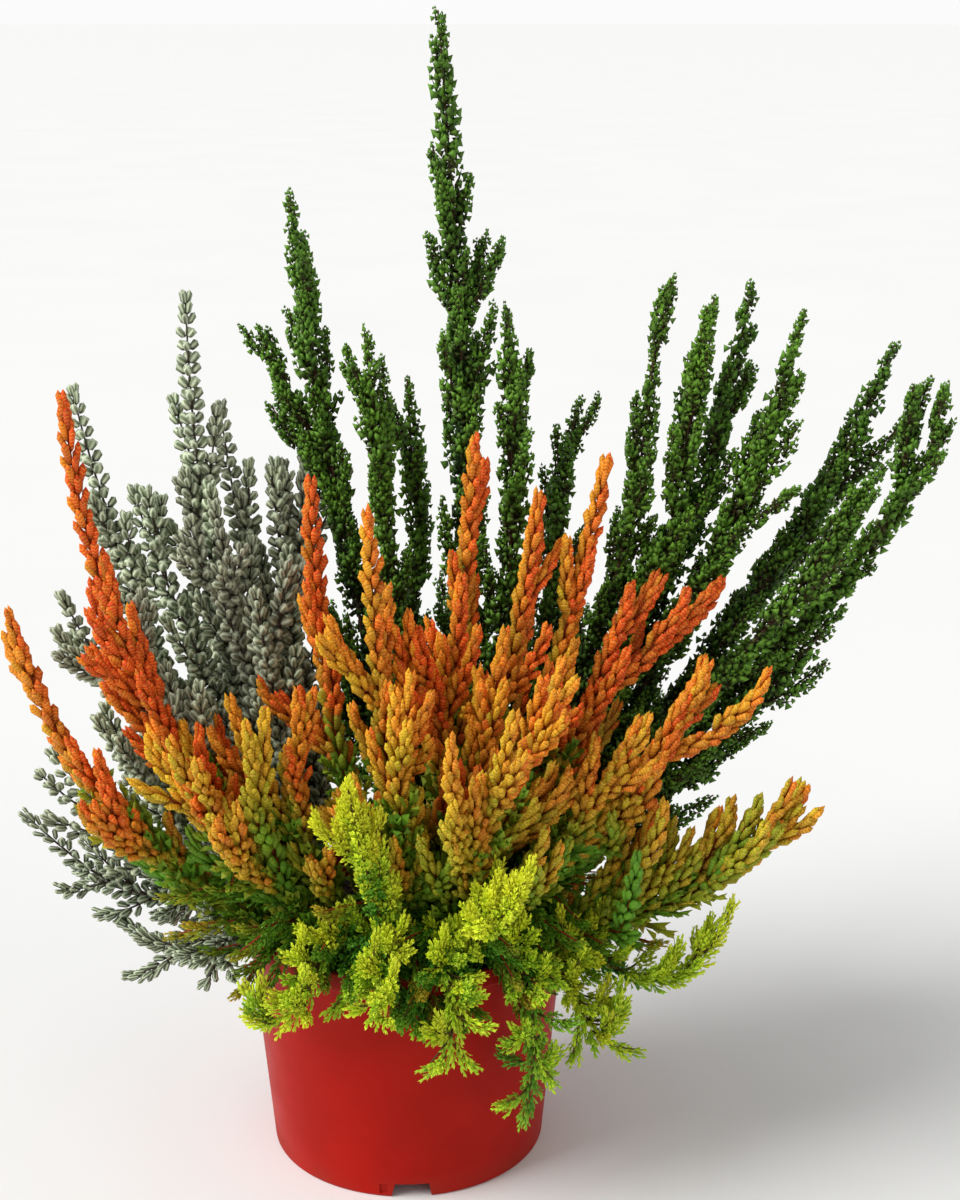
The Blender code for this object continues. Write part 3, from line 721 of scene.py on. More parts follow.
def make_shapes(draw):
    """The shapes that buds and twigs are copies of, by name: several of each kind, but one barrel."""
    leaf = folded_leaf()
    clubs = [
        ribbed_bud(3, (0.2, 0.8), (0.7, 1.0), groove=0.86, pale=0, tiers=7),
        ribbed_bud(3, (0.24, 0.74), (0.72, 1.0), groove=0.84, pale=0, tiers=6),
    ]
    knobbly = [leafy(scale_leaf(), KNOBBLY_TWIG, draw) for _ in range(KNOBBLY_KINDS)]
    tufts = [leafy(leaf, TUFT, draw) for _ in range(TUFT_KINDS)]
    barrel = ribbed_bud(4, (0.26, 0.78), (0.86, 1.0), groove=0.8, pale=1, tiers=0)
    return {"club": clubs, "knobbly": knobbly, "tuft": tufts, "barrel": barrel}


# Stems and what they bear


class Sprig:
    """Points, faces and attributes of one spray while it is being built."""

    def __init__(self):
        self.points, self.faces, self.growth, self.marks, self.smooth, self.scales = [], [], [], [], [], []
        self.count = 0

    def add(self, points, faces, age, along, chance, edge, bark, blush, smooth, scales=0.5):
        """Adds points and faces, with each attribute as one number for all points or one for each."""
        ones = np.ones(len(points))
        self.points.append(points)
        self.faces.append(faces + self.count)
        self.growth.append(np.column_stack([age * ones, along * ones, chance * ones]))
        self.marks.append(np.column_stack([edge * ones, bark * ones, blush * ones]))
        self.smooth.append(np.full(len(faces), smooth))
        self.scales.append(scales * ones)
        self.count += len(points)

    def stamp(self, shape, places, axes, bends, age, chance, blush):
        """Adds copies of a shape, each with its own age, chance and blush."""
        points, faces = stamp(shape, places, axes, bends)
        size = len(shape.points)
        copies = len(places)
        self.add(
            points, faces, np.repeat(age, size), np.tile(shape.along, copies), np.repeat(chance, size),
            np.tile(shape.edge, copies), 0, np.repeat(blush, size), shape.smooth,
            np.tile(np.broadcast_to(shape.scales, size), copies),
        )

    def stamp_kinds(self, shapes, pick, *values):
        """Copies of several shapes, at each place the one that was picked for it."""
        for number, shape in enumerate(shapes):
            self.stamp(shape, *(rows[pick == number] for rows in values))

    def finished(self, name):
        """The mesh object of all that was added."""
        attributes = {
            "growth": np.vstack(self.growth),
            "marks": np.vstack(self.marks),
            "scales": np.concatenate(self.scales),
        }
        smooth = np.concatenate(self.smooth)
        return add_mesh(name, np.vstack(self.points), np.vstack(self.faces), smooth, attributes)


def add_mesh(name, points, faces, smooth, attributes):
    """A mesh object in the scene, with numbers and triples of numbers as attributes of its points."""
    mesh = bpy.data.meshes.new(name)
    mesh.vertices.add(len(points))
    mesh.vertices.foreach_set("co", np.ascontiguousarray(points, np.float32).ravel())
    mesh.loops.add(faces.size)
    mesh.loops.foreach_set("vertex_index", np.ascontiguousarray(faces, np.int32).ravel())
    mesh.polygons.add(len(faces))
    mesh.polygons.foreach_set("loop_start", np.arange(0, faces.size, faces.shape[1], dtype=np.int32))
    mesh.polygons.foreach_set("use_smooth", smooth.astype(bool))
    mesh.update(calc_edges=True)
    for key, values in attributes.items():
        kind, field = ("FLOAT_VECTOR", "vector") if values.ndim > 1 else ("FLOAT", "value")
        attribute = mesh.attributes.new(key, kind, "POINT")
        attribute.data.foreach_set(field, np.ascontiguousarray(values, np.float32).ravel())
    item = bpy.data.objects.new(name, mesh)
    bpy.context.scene.collection.objects.link(item)
    return item


def finish_piece(item, node):
    """The piece joins the root body and stands in for its node, which is hidden."""
    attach(item, "root")
    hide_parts(node)


def sampled(values, share):
    """Values at even stations, read off at shares of the whole length."""
    stations = np.linspace(0, 1, len(values))
    if values.ndim == 1:
        return np.interp(share, stations, values)
    return np.column_stack([np.interp(share, stations, values[:, axis]) for axis in range(3)])


# A direction that no stem takes, from which the directions square to a stem are worked out
CROSSWAYS = (0.9, 0.4, 0.1)


def stem_frames(line):
    """Directions along a line and two square to it, with as little twist as a fixed third one allows."""
    forward = unit(np.gradient(line, axis=0))
    fixed = np.cross(unit(line[-1] - line[0]), CROSSWAYS)
    side = unit(fixed - (forward @ fixed)[:, None] * forward)
    return forward, side, np.cross(forward, side)


TIP_BUD = 4 * MM


def shortened(spike):
    """The spike without the last few millimetres of its stem, which the buds at the tip fill."""
    keep = np.linspace(0, 1 - TIP_BUD / length_of(spike["line"]), STATIONS)
    return {**spike, "line": sampled(spike["line"], keep), "wanted": sampled(spike["wanted"], keep)}


# How the stems of some sprays bow between the heights of their root and tip, at the most, in millimetres
BOWS = {
    "green": {
        1: (8, 0, 0), 5: (7, 0, 0), 6: (9, 0, 0), 7: (8, 0, 0), 8: (8, 0, 0), 9: (9, 0, 0), 10: (8, 0, 0),
        11: (6, 0, -3), 12: (3, 0, -3),
    },
    "silver": {1: (-9, 0, 0), 2: (-5, 0, 0), 13: (0, 0, -7), 14: (0, 0, -5)},
    "orange": {1: (-14, 0, -2), 2: (-10, 0, -10), 3: (-5, 0, 0), 14: (0, 0, -7)},
    "lime": {7: (4, 0, -14), 8: (6, 0, -12)},
}


def bowed(spikes, plant, number):
    """Moves the members of a spray aside by a half wave over their height, so that forks stay joined."""
    bow = np.array(BOWS[plant].get(number, (0, 0, 0))) * MM
    foot, top = spikes[0]["line"][0], spikes[0]["line"][-1]
    for spike in spikes:
        share = ((spike["line"] - foot) @ (top - foot)) / ((top - foot) @ (top - foot))
        spike["line"] = spike["line"] + np.sin(math.pi * np.clip(share, 0, 1))[:, None] * bow


# How far short lime shoots reach, as a share, and how much their end is raised
TURNED_UP_REACH = 0.4
TURNED_UP_RISE = 12 * MM


def turned_up(line):
    """A short shoot drawn in towards its root, with its end raised along a parabola."""
    share = np.linspace(0, 1, len(line))[:, None]
    return line[0] + TURNED_UP_REACH * (line - line[0]) + share**2 * np.array([0, 0, TURNED_UP_RISE])


# Near a stem's tip its whorls crowd together: over what length, and down to what share of the pitch.
# Each whorl is off its height by up to HEIGHT_SPREAD of a middling gap, which is MEAN_CROWDING of the
# pitch, and each bud is off its turn by up to TURN_SPREAD, in radians.
CROWDED_LENGTH = 12 * MM
CROWDED_SHARE = 0.55
MEAN_CROWDING = 0.7
HEIGHT_SPREAD = 0.2
TURN_SPREAD = 0.22
FINE_STEPS = 200

# Random turns in radians: nearly a whole one for where buds start and how they roll, and a whole one
ANY_TURN = 6
FULL_TURN = 6.28

Whorls = namedtuple("Whorls", "places forward outward room to_tip")


def whorls(spike, pitch, count, first, last, draw, room=1.0):
    """Where a stem bears buds: whorls a pitch apart, each turned by half a gap from the one below. Room is
    the radius that the buds may reach, as a factor of the spike's girth."""
    line, length = spike["line"], length_of(spike["line"])
    fine = np.linspace(first, max(length - last, first + pitch), FINE_STEPS)
    spacing = pitch * np.interp(length - fine, [0, CROWDED_LENGTH], [CROWDED_SHARE, 1])
    number = np.r_[0, np.cumsum(np.diff(fine) / spacing[1:])]
    along = np.interp(np.arange(int(number[-1]) + 1), number, fine)
    off = draw.uniform(-HEIGHT_SPREAD, HEIGHT_SPREAD, len(along)) * pitch * MEAN_CROWDING
    along = np.clip(along + off, 0, length)
    share = np.repeat(along / length, count)
    level = np.repeat(np.arange(len(along)), count)
    turn = 2 * math.pi / count * (np.tile(np.arange(count), len(along)) + level / 2)
    turn = turn + draw.uniform(-TURN_SPREAD, TURN_SPREAD, len(turn)) + draw.uniform(0, ANY_TURN)
    forward, side, other = (sampled(values, share) for values in stem_frames(line))
    outward = unit(np.cos(turn)[:, None] * side + np.sin(turn)[:, None] * other)
    forward = unit(forward)
    outward = unit(outward - (outward * forward).sum(1)[:, None] * forward)
    reach = sampled(spike["wanted"] * room, share)
    return Whorls(sampled(line, share), forward, outward, reach, length * (1 - share))


def lean_out(whorl, slant, length, width, roll, curl):
    """Places, axes and bends of buds that lean out from their stem by a slant and curl back to it. They
    start inside the stem, half way out."""
    lean, rise = np.sin(slant)[:, None], np.cos(slant)[:, None]
    ahead = rise * whorl.forward + lean * whorl.outward
    out = -lean * whorl.forward + rise * whorl.outward
    across = np.cross(out, ahead)
    cos, sin = np.cos(roll)[:, None], np.sin(roll)[:, None]
    width, length = width[:, None], length[:, None]
    broad, deep = (cos * across + sin * out) * width, (cos * out - sin * across) * width
    axes = np.stack([ahead * length, broad, deep], 1)
    return whorl.places + whorl.outward * STEM_RADIUS * 0.5, axes, -out * length * curl


# How buds or twigs sit on a stem, with lengths in millimetres. Room is a factor of the spike's girth, and
# first and last are the bare lengths at the stem's foot and tip. From "steep" to the tip the slant
# falls to TIP_SLANT of itself, and from "small" to the tip the size falls to tip_size. Slants, widths and
# lengths are ranges of random factors.
Habit = namedtuple("Habit", "room first last steep slants small tip_size widths shortest lengths curl")
HABITS = {
    "silver": Habit(1.2, 7, 1, 20, (0.85, 1.15), 25, 0.6, (0.86, 1.1), 3.0, (0.9, 1.1), 0.12),
    "green": Habit(1.5, 7, 4, 28, (0.75, 1.25), 34, 0.5, (0.85, 1.1), 6, (0.85, 1.15), 0.1),
    "club": Habit(1.35, 5, 2, 22, (0.8, 1.25), 26, 0.66, (0.86, 1.12), 4.6, (0.88, 1.12), 0.14),
}
TIP_SLANT = 0.3


def seated(whorl, habit, slant, width, longest, draw, scale=1.0, tapers=False):
    """Places, axes and bends of buds which are more upright and smaller towards the tip. A bud is as long
    as the room of its spike allows, and a bud that tapers is shorter still towards the tip."""
    count = len(whorl.room)
    slant = slant * np.interp(whorl.to_tip, [0, habit.steep * MM], [TIP_SLANT, 1])
    slant = slant * draw.uniform(*habit.slants, count)
    size = np.interp(whorl.to_tip, [0, habit.small * MM], [habit.tip_size, 1]) * scale
    width = width * size * draw.uniform(*habit.widths, count)
    reach = (whorl.room - width / 2 * np.cos(slant)) / np.sin(slant)
    length = np.clip(reach, habit.shortest * MM * scale, longest)
    if tapers:
        length = length * size
    length = length * draw.uniform(*habit.lengths, count)
    return lean_out(whorl, slant, length, width, draw.uniform(0, ANY_TURN, count), habit.curl)


# Silver sprays over the rim bear smaller, older buds
TRAILING_SCALE = 0.72
TRAILING_AGE = 0.55
TRAILING_AGEING = 0.45

# How far below a tip silver buds and green twigs are old
SILVER_AGEING = 190 * MM
GREEN_AGEING = 220 * MM


def silver_buds(sprig, spike, settings, shapes, draw):
    """Whorls of three barrel-like buds."""
    habit = HABITS["silver"]
    scale = TRAILING_SCALE if spike["trailing"] else 1.0
    pitch = settings.pitch * scale
    whorl = whorls(spike, pitch, 3, habit.first * MM, habit.last * MM, draw, habit.room)
    buds = seated(whorl, habit, settings.slant, settings.bud_width, settings.bud_length, draw, scale)
    count = len(whorl.room)
    age = np.clip(whorl.to_tip / SILVER_AGEING, 0, 1)
    if spike["trailing"]:
        age = TRAILING_AGE + TRAILING_AGEING * age
    sprig.stamp(shapes["barrel"], *buds, age, draw.uniform(0, 1, count), np.full(count, spike["blush"]))


def green_twigs(sprig, spike, settings, shapes, draw):
    """Knobbly twigs that hug the stem, one of each kind in turn and each turned any way round the stem."""
    habit = HABITS["green"]
    kinds = shapes["knobbly"]
    for number, shape in enumerate(kinds):
        first = (habit.first + number * settings.pitch / len(kinds) / MM) * MM
        whorl = whorls(spike, settings.pitch, 1, first, habit.last * MM, draw, habit.room)
        count = len(whorl.room)
        spin = draw.uniform(0, FULL_TURN, count)[:, None]
        square = np.cross(whorl.forward, whorl.outward)
        whorl = whorl._replace(outward=unit(np.cos(spin) * whorl.outward + np.sin(spin) * square))
        width, longest = settings.twig_width, settings.twig_length
        twigs = seated(whorl, habit, settings.slant, width, longest, draw, tapers=True)
        age = np.clip(whorl.to_tip / GREEN_AGEING, 0, 1)
        sprig.stamp(shape, *twigs, age, draw.uniform(0, 1, count), np.full(count, spike["blush"]))


# How high up a leading stem its first clubs sit, and between which heights the clubs turn green
FIRST_CLUB = 26 * MM
GREEN_HEIGHTS = {"orange": (122 * MM, 215 * MM), "lime": (72 * MM, 168 * MM)}

# Tufts on the orange plant stand further apart than its clubs, by this factor
TUFT_SPACING = 1.15

# How much one bud's age and blush differ from those of its spike, and how much redder the right side is
AGE_SPREAD = 0.08
BLUSH_SPREAD = 0.2
SIDE_BLUSH = 0.25


def clubs_or_tufts(sprig, spike, settings, shapes, draw):
    """Whorls of three clubs or leafy tufts, which turn green down the spike and near the compost."""
    habit = HABITS["club"]
    low = habit.first * MM if spike["side"] else FIRST_CLUB
    pitch = settings.pitch * (TUFT_SPACING if spike["leafy"] and spike["plant"] == "orange" else 1)
    whorl = whorls(spike, pitch, 3, low, habit.last * MM, draw, habit.room)
    count = len(whorl.room)
    buds = seated(whorl, habit, settings.slant, settings.bud_width, settings.bud_length, draw)
    deep = spike["depth"] * np.interp(whorl.places[:, 2], GREEN_HEIGHTS[spike["plant"]], [1, 0])
    age = np.maximum(spike["oldness"] + whorl.to_tip / spike["fade"], deep)
    age = np.clip(age + draw.uniform(-AGE_SPREAD, AGE_SPREAD, count), 0, 1)
    blush = spike["blush"] + SIDE_BLUSH * whorl.outward[:, 0]
    blush = np.clip(blush + draw.uniform(-BLUSH_SPREAD, BLUSH_SPREAD, count), 0, 1)
    kinds = shapes["tuft" if spike["leafy"] else "club"]
    pick = draw.integers(0, len(kinds), count)
    sprig.stamp_kinds(kinds, pick, *buds, age, draw.uniform(0, 1, count), blush)


# Green leafy twigs on the stems of the orange plant: where they start and end, how far apart their
# whorls are, how long and wide they are, and how they lean and curl
LEAFY_FOOT = 4 * MM
LEAFY_TOP = 168 * MM
LEAFY_BARE_TIP = 50 * MM
LEAFY_PITCH = 6 * MM
LEAFY_LENGTH = 16 * MM
LEAFY_WIDTH = 0.5
LEAFY_SLANT = math.radians(46)
LEAFY_CURL = 0.25


def leafy_twigs(sprig, spike, shapes, draw):
    """Green leafy twigs in whorls of three on a stem, up to a height above the ground."""
    whorl = whorls(spike, LEAFY_PITCH, 3, LEAFY_FOOT, LEAFY_BARE_TIP, draw)
    low = whorl.places[:, 2] < LEAFY_TOP
    whorl = Whorls(*(values[low] for values in whorl))
    count = len(whorl.room)
    slant = LEAFY_SLANT * draw.uniform(0.75, 1.3, count)
    length = LEAFY_LENGTH * draw.uniform(0.7, 1.15, count)
    width = LEAFY_WIDTH * length * draw.uniform(0.85, 1.1, count)
    twigs = lean_out(whorl, slant, length, width, draw.uniform(0, ANY_TURN, count), LEAFY_CURL)
    pick = draw.integers(0, len(shapes), count)
    chance = draw.uniform(0, 1, count)
    age = draw.uniform(0.72, 1.0, count)
    sprig.stamp_kinds(shapes, pick, *twigs, age, chance, np.full(count, spike["blush"]))


# Extra short shoots make a plant bushy. Their spacing, lengths and girth are in millimetres and their
# slant is in degrees. Low and high are the shares of the stem between which they leave it, lift turns
# them upright, flat_lift and stretch do so and lengthen them the more the flatter their stem lies, and
# ahead is their greatest length as a share of the stem above them.
Fill = namedtuple("Fill", "spacing low high shortest longest slant girth lift flat_lift stretch ahead")
FILLS = {
    "silver": Fill(11.5, 0.05, 0.72, 26, 48, 16, 5.8, 0.0, 0.1, 0, 0.9),
    "green": Fill(15, 0.1, 0.8, 26, 54, 12, 6.4, 0.0, 0.3, 0, 0.9),
    "orange": Fill(18, 0.14, 0.7, 24, 42, 16, 5.2, 0.1, 3.0, 1, 0.9),
    "lime": Fill(6.5, 0.1, 0.86, 14, 34, 22, 5.0, 0.7, 0.0, 0, 0.38),
}
TRAILING_FILLS = {
    "silver": FILLS["silver"]._replace(spacing=6.5, shortest=18, longest=38, slant=40, girth=4.8),
    "lime": FILLS["lime"]._replace(spacing=5.0, shortest=9, longest=20, slant=30, girth=5.6),
}
LOW_ORANGE_FILL = FILLS["orange"]._replace(spacing=8, high=0.92)
LOW_TIP = 170 * MM

# A stem is flat where it rises by less than FLAT_BELOW of its length. Each shoot is turned on from the
# one before it by a step in radians. The least end, in millimetres, is how much longer it may be than
# its share of the stem above it, and on a flat stem that grows by the flat end times how flat it is.
FLAT_BELOW = 0.75
SHORT_STEM_POWER = 1.5
UPRIGHT_PER_LIFT = 1.5
SHOOT_TURN_STEP = 2.4
SHOOT_STATIONS = 12
SHOOT_LEAST_END = 6
SHOOT_FLAT_END = 60
SHOOT_TAPER = 12 * MM


def fill_of(spike):
    """The rule for the short shoots of a stem, which are closer together where a leading stem is short."""
    fill = (TRAILING_FILLS if spike["trailing"] else FILLS)[spike["plant"]]
    if spike["plant"] == "orange" and spike["line"][-1, 2] < LOW_TIP:
        return LOW_ORANGE_FILL
    if spike["side"]:
        return fill
    shorter = min(1, FULL_LENGTH / length_of(spike["line"]))
    return fill._replace(spacing=fill.spacing * shorter**SHORT_STEM_POWER)


def short_shoots(spike, draw):
    """Short shoots along a stem, each on a curve that starts at a slant and turns upright."""
    fill = fill_of(spike)
    line, length = spike["line"], length_of(spike["line"])
    shares = np.arange(fill.low, fill.high, fill.spacing * MM / length)
    off = draw.uniform(-0.3, 0.3, len(shares)) * fill.spacing * MM / length
    frames = stem_frames(line)
    shoots = []
    for number, share in enumerate(np.clip(shares + off, 0, 1)):
        root, forward, side, other = (sampled(values, np.array([share]))[0] for values in (line, *frames))
        flat = max(0, FLAT_BELOW - forward[2])
        lift = fill.lift + fill.flat_lift * flat
        upright = PLANTS[spike["plant"]]["upright"] + UPRIGHT_PER_LIFT * lift
        turn = SHOOT_TURN_STEP * number + draw.uniform(-0.4, 0.4)
        lean = math.radians(fill.slant) * draw.uniform(0.7, 1.3)
        way = math.cos(lean) * forward + math.sin(lean) * (math.cos(turn) * side + math.sin(turn) * other)
        way = unit(way + np.array([0, 0, lift]))
        ahead = length * (1 - share)
        spare = fill.stretch * flat
        reach = draw.uniform(fill.shortest, fill.longest) * (1 + spare) * MM
        reach = min(reach, ahead * fill.ahead + (SHOOT_LEAST_END + SHOOT_FLAT_END * spare) * MM)
        tip = root + way * reach
        finish = unit(way + np.array([0, 0, upright]))
        curve = bezier(root, root + way * reach * 0.4, tip - finish * reach * 0.35, tip)
        taper = np.clip(np.linspace(reach, 0, SHOOT_STATIONS) / SHOOT_TAPER, 0, 1)
        shoots.append({
            **spike,
            "line": evenly(curve, SHOOT_STATIONS),
            "wanted": (0.5 + 0.5 * taper) * fill.girth * MM,
            "side": True,
            "oldness": 0.25 * ahead / spike["fade"],
            "fade": 0.85 * spike["fade"],
            "blush": np.clip(spike["blush"] + draw.uniform(-0.3, 0.3), 0, 1),
            "depth": spike["depth"] * draw.uniform(0.7, 1.2),
        })
    return shoots


# Green shoots that cover the rim: how many a stem has, how far from the axis such a stem stands at least,
# where on the stem they start, how far they turn aside, how they rise or fall in degrees, how far past
# the rim they reach and how their girth falls from foot to tip in millimetres, and how fast they age
SKIRT_SHOOTS = 5
SKIRT_LEAST_RADIUS = 32 * MM
SKIRT_FIRST_SHARE = 0.04
SKIRT_SHARE_STEP = 0.045
SKIRT_SPREAD = math.radians(60)
SKIRT_RISES = (-22, 26)
SKIRT_PAST_RIM = (10, 20)
SKIRT_GIRTHS = (6.8, 4.2)
SKIRT_FADE = 60 * MM


def skirt_shoots(spike, draw):
    """Short leafy shoots low on a leading stem near the pot's wall, which lean out over its rim."""
    root = spike["line"][0]
    out = math.hypot(root[0], root[1])
    if spike["side"] or out < SKIRT_LEAST_RADIUS:
        return []
    shoots = []
    for number in range(SKIRT_SHOOTS):
        start = sampled(spike["line"], np.array([SKIRT_FIRST_SHARE + SKIRT_SHARE_STEP * number]))[0]
        bearing = math.atan2(root[1], root[0]) + SKIRT_SPREAD * draw.uniform(-1, 1)
        rise = math.radians(draw.uniform(*SKIRT_RISES))
        level = math.cos(rise)
        way = np.array([math.cos(bearing) * level, math.sin(bearing) * level, math.sin(rise)])
        reach = RIM_RADIUS - out + draw.uniform(*SKIRT_PAST_RIM) * MM
        tip = start + way * reach
        middle = start + np.array([0, 0, 0.5]) * reach
        curve = bezier(start, middle, tip - unit(way + (0, 0, 0.8)) * reach * 0.3, tip)
        shoots.append({
            **spike,
            "line": evenly(curve, SHOOT_STATIONS),
            "wanted": np.linspace(*SKIRT_GIRTHS, SHOOT_STATIONS) * MM,
            "side": True,
            "leafy": True,
            "oldness": draw.uniform(0.5, 0.85),
            "fade": SKIRT_FADE,
            "blush": 0.1,
            "depth": draw.uniform(0.5, 0.9),
        })
    return shoots


# Side stems' radius at their foot and that of all stems at their tip, how many corners leading stems and
# side stems have, how deep stems go into the compost, and the length of stem that there is for each ring
SIDE_STEM_RADIUS = 0.62 * MM
STEM_TIP_RADIUS = 0.35 * MM
STEM_SIDES = 5
SIDE_STEM_SIDES = 3
STEM_BURIED = 6 * MM
STEM_STEP = 14 * MM
STEM_AGE = 0.4


def stem_tube(sprig, spike):
    """A thin stem: rings square to the line whose radius falls from foot to tip."""
    line, foot, sides = spike["line"], SIDE_STEM_RADIUS, SIDE_STEM_SIDES
    if not spike["side"]:
        line, foot, sides = np.vstack([line[0] - (0, 0, STEM_BURIED), line]), STEM_RADIUS, STEM_SIDES
    line = evenly(line, max(3, int(length_of(line) / STEM_STEP)))
    forward, side, other = stem_frames(line)
    turns = np.arange(sides) * 2 * math.pi / sides
    radius = np.linspace(foot, STEM_TIP_RADIUS, len(line))[:, None, None]
    ways = np.cos(turns)[None, :, None] * side[:, None] + np.sin(turns)[None, :, None] * other[:, None]
    rings = line[:, None] + radius * ways
    points = np.vstack([line[:1], rings.reshape(-1, 3), line[-1:] + forward[-1:] * STEM_TIP_RADIUS])
    this = np.arange(sides)
    after = (this + 1) % sides
    level = 1 + sides * np.arange(len(line) - 1)[:, None]
    low, high = level + this, level + sides + this
    low_after, high_after = level + after, level + sides + after
    bands = np.concatenate([
        np.stack([low, low_after, high_after], -1),
        np.stack([low, high_after, high], -1),
    ]).reshape(-1, 3)
    last = len(points) - 1
    caps = np.vstack([
        np.column_stack([0 * this, after + 1, this + 1]),
        np.column_stack([0 * this + last, this + last - sides, after + last - sides]),
    ])
    faces = np.vstack([bands, caps])
    sprig.add(points, faces, STEM_AGE, 0, 0.5, edge=0, bark=1, blush=spike["blush"], smooth=True)


CLOTHING = {"silver": silver_buds, "green": green_twigs, "orange": clubs_or_tufts, "lime": clubs_or_tufts}


def dress_spray(name, spikes, settings, shapes, draw):
    """One piece: the stems of a spray with all that they bear."""
    plant = spikes[0]["plant"]
    sprig = Sprig()
    extra = [shoot for spike in spikes for shoot in short_shoots(spike, draw)]
    if plant in ("orange", "lime"):
        extra += [shoot for spike in spikes for shoot in skirt_shoots(spike, draw)]
    for spike in spikes + extra:
        stem_tube(sprig, spike)
        CLOTHING[plant](sprig, spike, settings, shapes, draw)
        if plant == "orange" and not spike["side"]:
            leafy_twigs(sprig, spike, shapes["tuft"], draw)
    return sprig.finished(name)


SEEDS = {"silver": 11, "green": 12, "orange": 13, "lime": 14}

# How much of the blush colour each spray has, from 0 to 1, in the sprays' order
BLUSHES = {
    "orange": (1.0, 0.8, 0.95, 0.35, 0.9, 0.8, 0.85, 0.8, 0.6, 0.9, 0.4, 0.5, 0.7, 0.4, 0.25, 0.5, 0.45, 0.3),
    "green": (0.2, 0.45, 0.9, 0.75, 0.5, 0.5, 0.6, 0.7, 0.5, 0.55, 0.3, 0.4, 0.3, 0.3, 0.3, 0.3, 0.3, 0.2),
}

# How far below its tip each orange spray is green, in millimetres, and the same for every other spray,
# where it counts only for the lime ones
FADES = (320, 150, 130, 120, 125, 125, 125, 120, 120, 120, 110, 110, 115, 105, 105, 105, 100, 100)
PLAIN_FADE = 65

# Lime sprays over the rim are less green near the pot than others, by this factor
TRAILING_DEPTH = 0.8


def make_plant(plant, settings):
    """All sprays of a plant, each with a seeded tint, age and depth of green for every spike."""
    draw = np.random.default_rng(SEEDS[plant])
    shapes = make_shapes(draw)
    material = foliage_material(plant, settings)
    spikes = all_spikes()
    numbers = sorted({spike["spray"] for spike in spikes if spike["plant"] == plant})
    for order, spray in enumerate(numbers):
        members = [shortened(spike) for spike in spikes if spike["spray"] == spray]
        bowed(members, plant, order + 1)
        blush = draw.uniform(0.2, 0.8)
        if plant in BLUSHES:
            blush = BLUSHES[plant][order]
        fade = FADES[order] if plant == "orange" else PLAIN_FADE
        for member in members:
            member["side"] = member["fork"] is not None
            member["trailing"] = order >= len(SPRAYS[plant])
            member["blush"] = np.clip(blush + draw.uniform(-0.25, 0.25), 0, 1)
            member["fade"] = fade * MM * draw.uniform(0.85, 1.2)
            member["oldness"] = 0.0
            member["leafy"] = plant == "lime"
            if plant == "lime" and member["short"]:
                member["line"] = turned_up(member["line"])
            member["depth"] = draw.uniform(0.6, 1.1)
            if plant == "lime" and member["trailing"]:
                member["depth"] *= TRAILING_DEPTH
        item = dress_spray(f"{plant}_foliage_{order + 1:02d}", members, settings, shapes, draw)
        item.data.materials.append(material)
        finish_piece(item, f"{plant}_spray_{order + 1:02d}")


# Pot and compost

# How far the wall leans out per height, how far the lip tapers and how far it takes to meet the wall, how
# far the foot's edge is drawn in, and how much thicker the standing ring is than the wall
WALL_SLOPE = 0.09
RIM_DRAFT = 0.3 * MM
LIP_STEP = 1 * MM
FOOT_DRAFT = 0.5 * MM
RING_EXTRA = 0.4 * MM

# The notches in the standing ring, and the shallow mark beside each with the rings that it needs
NOTCH_TURNS = np.radians([-87, 33, 153])
NOTCH_HEIGHT = 6 * MM
NOTCH_HALF_TOP = 6.6 * MM
NOTCH_HALF_FOOT = 8.0 * MM
MARK_OFFSET = 11.2 * MM
MARK_HALF_WIDTH = 1.4 * MM
MARK_FOOT = 1.5 * MM
MARK_TOP = 5.6 * MM
MARK_RINGS = (5.4 * MM, 1.8 * MM, 0.8 * MM)

GUTTER_HEIGHT = 7 * MM
GUTTER_INNER_RADIUS = 38 * MM
CENTRE_RADIUS = 32 * MM
LIP_HEIGHT = 7 * MM
DRAIN_HOLES = 6
DRAIN_HOLE_RADIUS = 3.5 * MM
DRAIN_CIRCLE_RADIUS = 46.5 * MM
DRAIN_SIDES = 24
CUTTER_EXTRA = 1 * MM
CORNER_STEPS = 3
POT_TURNS = 96
LONGEST_STRAIGHT = 30 * MM
SHARP_ANGLE = math.radians(35)

# How far to each side of a notch's middle the pot's rings have extra points, in millimetres
NOTCH_STATIONS = (12.8, 12.5, 9.9, 9.6, 8.3, 8.0, 7.7, 7.3, 6.9, 6.6, 6.2)


def wall_radius(height):
    """The radius of the wall's outside, which grows evenly from foot to top."""
    return WALL_FOOT_RADIUS + (WALL_TOP_RADIUS - WALL_FOOT_RADIUS) * height / POT_HEIGHT


def rounded(profile, radius):
    """The same profile with each corner replaced by a curve: (1-t)^2, 2t(1-t) and t^2 times its start,
    the corner and its end, which lie a radius from the corner, or at most 0.4 of the straight."""
    profile = np.array(profile, float)
    before, corner, after = profile[:-2], profile[1:-1], profile[2:]
    reach_in = np.minimum(radius, np.linalg.norm(corner - before, axis=1) * 0.4)[:, None]
    reach_out = np.minimum(radius, np.linalg.norm(after - corner, axis=1) * 0.4)[:, None]
    start = corner - unit(corner - before) * reach_in
    end = corner + unit(after - corner) * reach_out
    t = np.linspace(0, 1, CORNER_STEPS)[None, :, None]
    curve = (1 - t) ** 2 * start[:, None] + 2 * t * (1 - t) * corner[:, None] + t**2 * end[:, None]
    return np.vstack([profile[:1], curve.reshape(-1, 2), profile[-1:]])


def divided(profile, longest):
    """The same profile with no straight longer than a given length."""
    pieces = []
    for start, end in zip(profile[:-1], profile[1:]):
        parts = max(1, math.ceil(np.linalg.norm(end - start) / longest))
        pieces.append(start + (end - start) * np.arange(parts)[:, None] / parts)
    return np.vstack([*pieces, profile[-1:]])


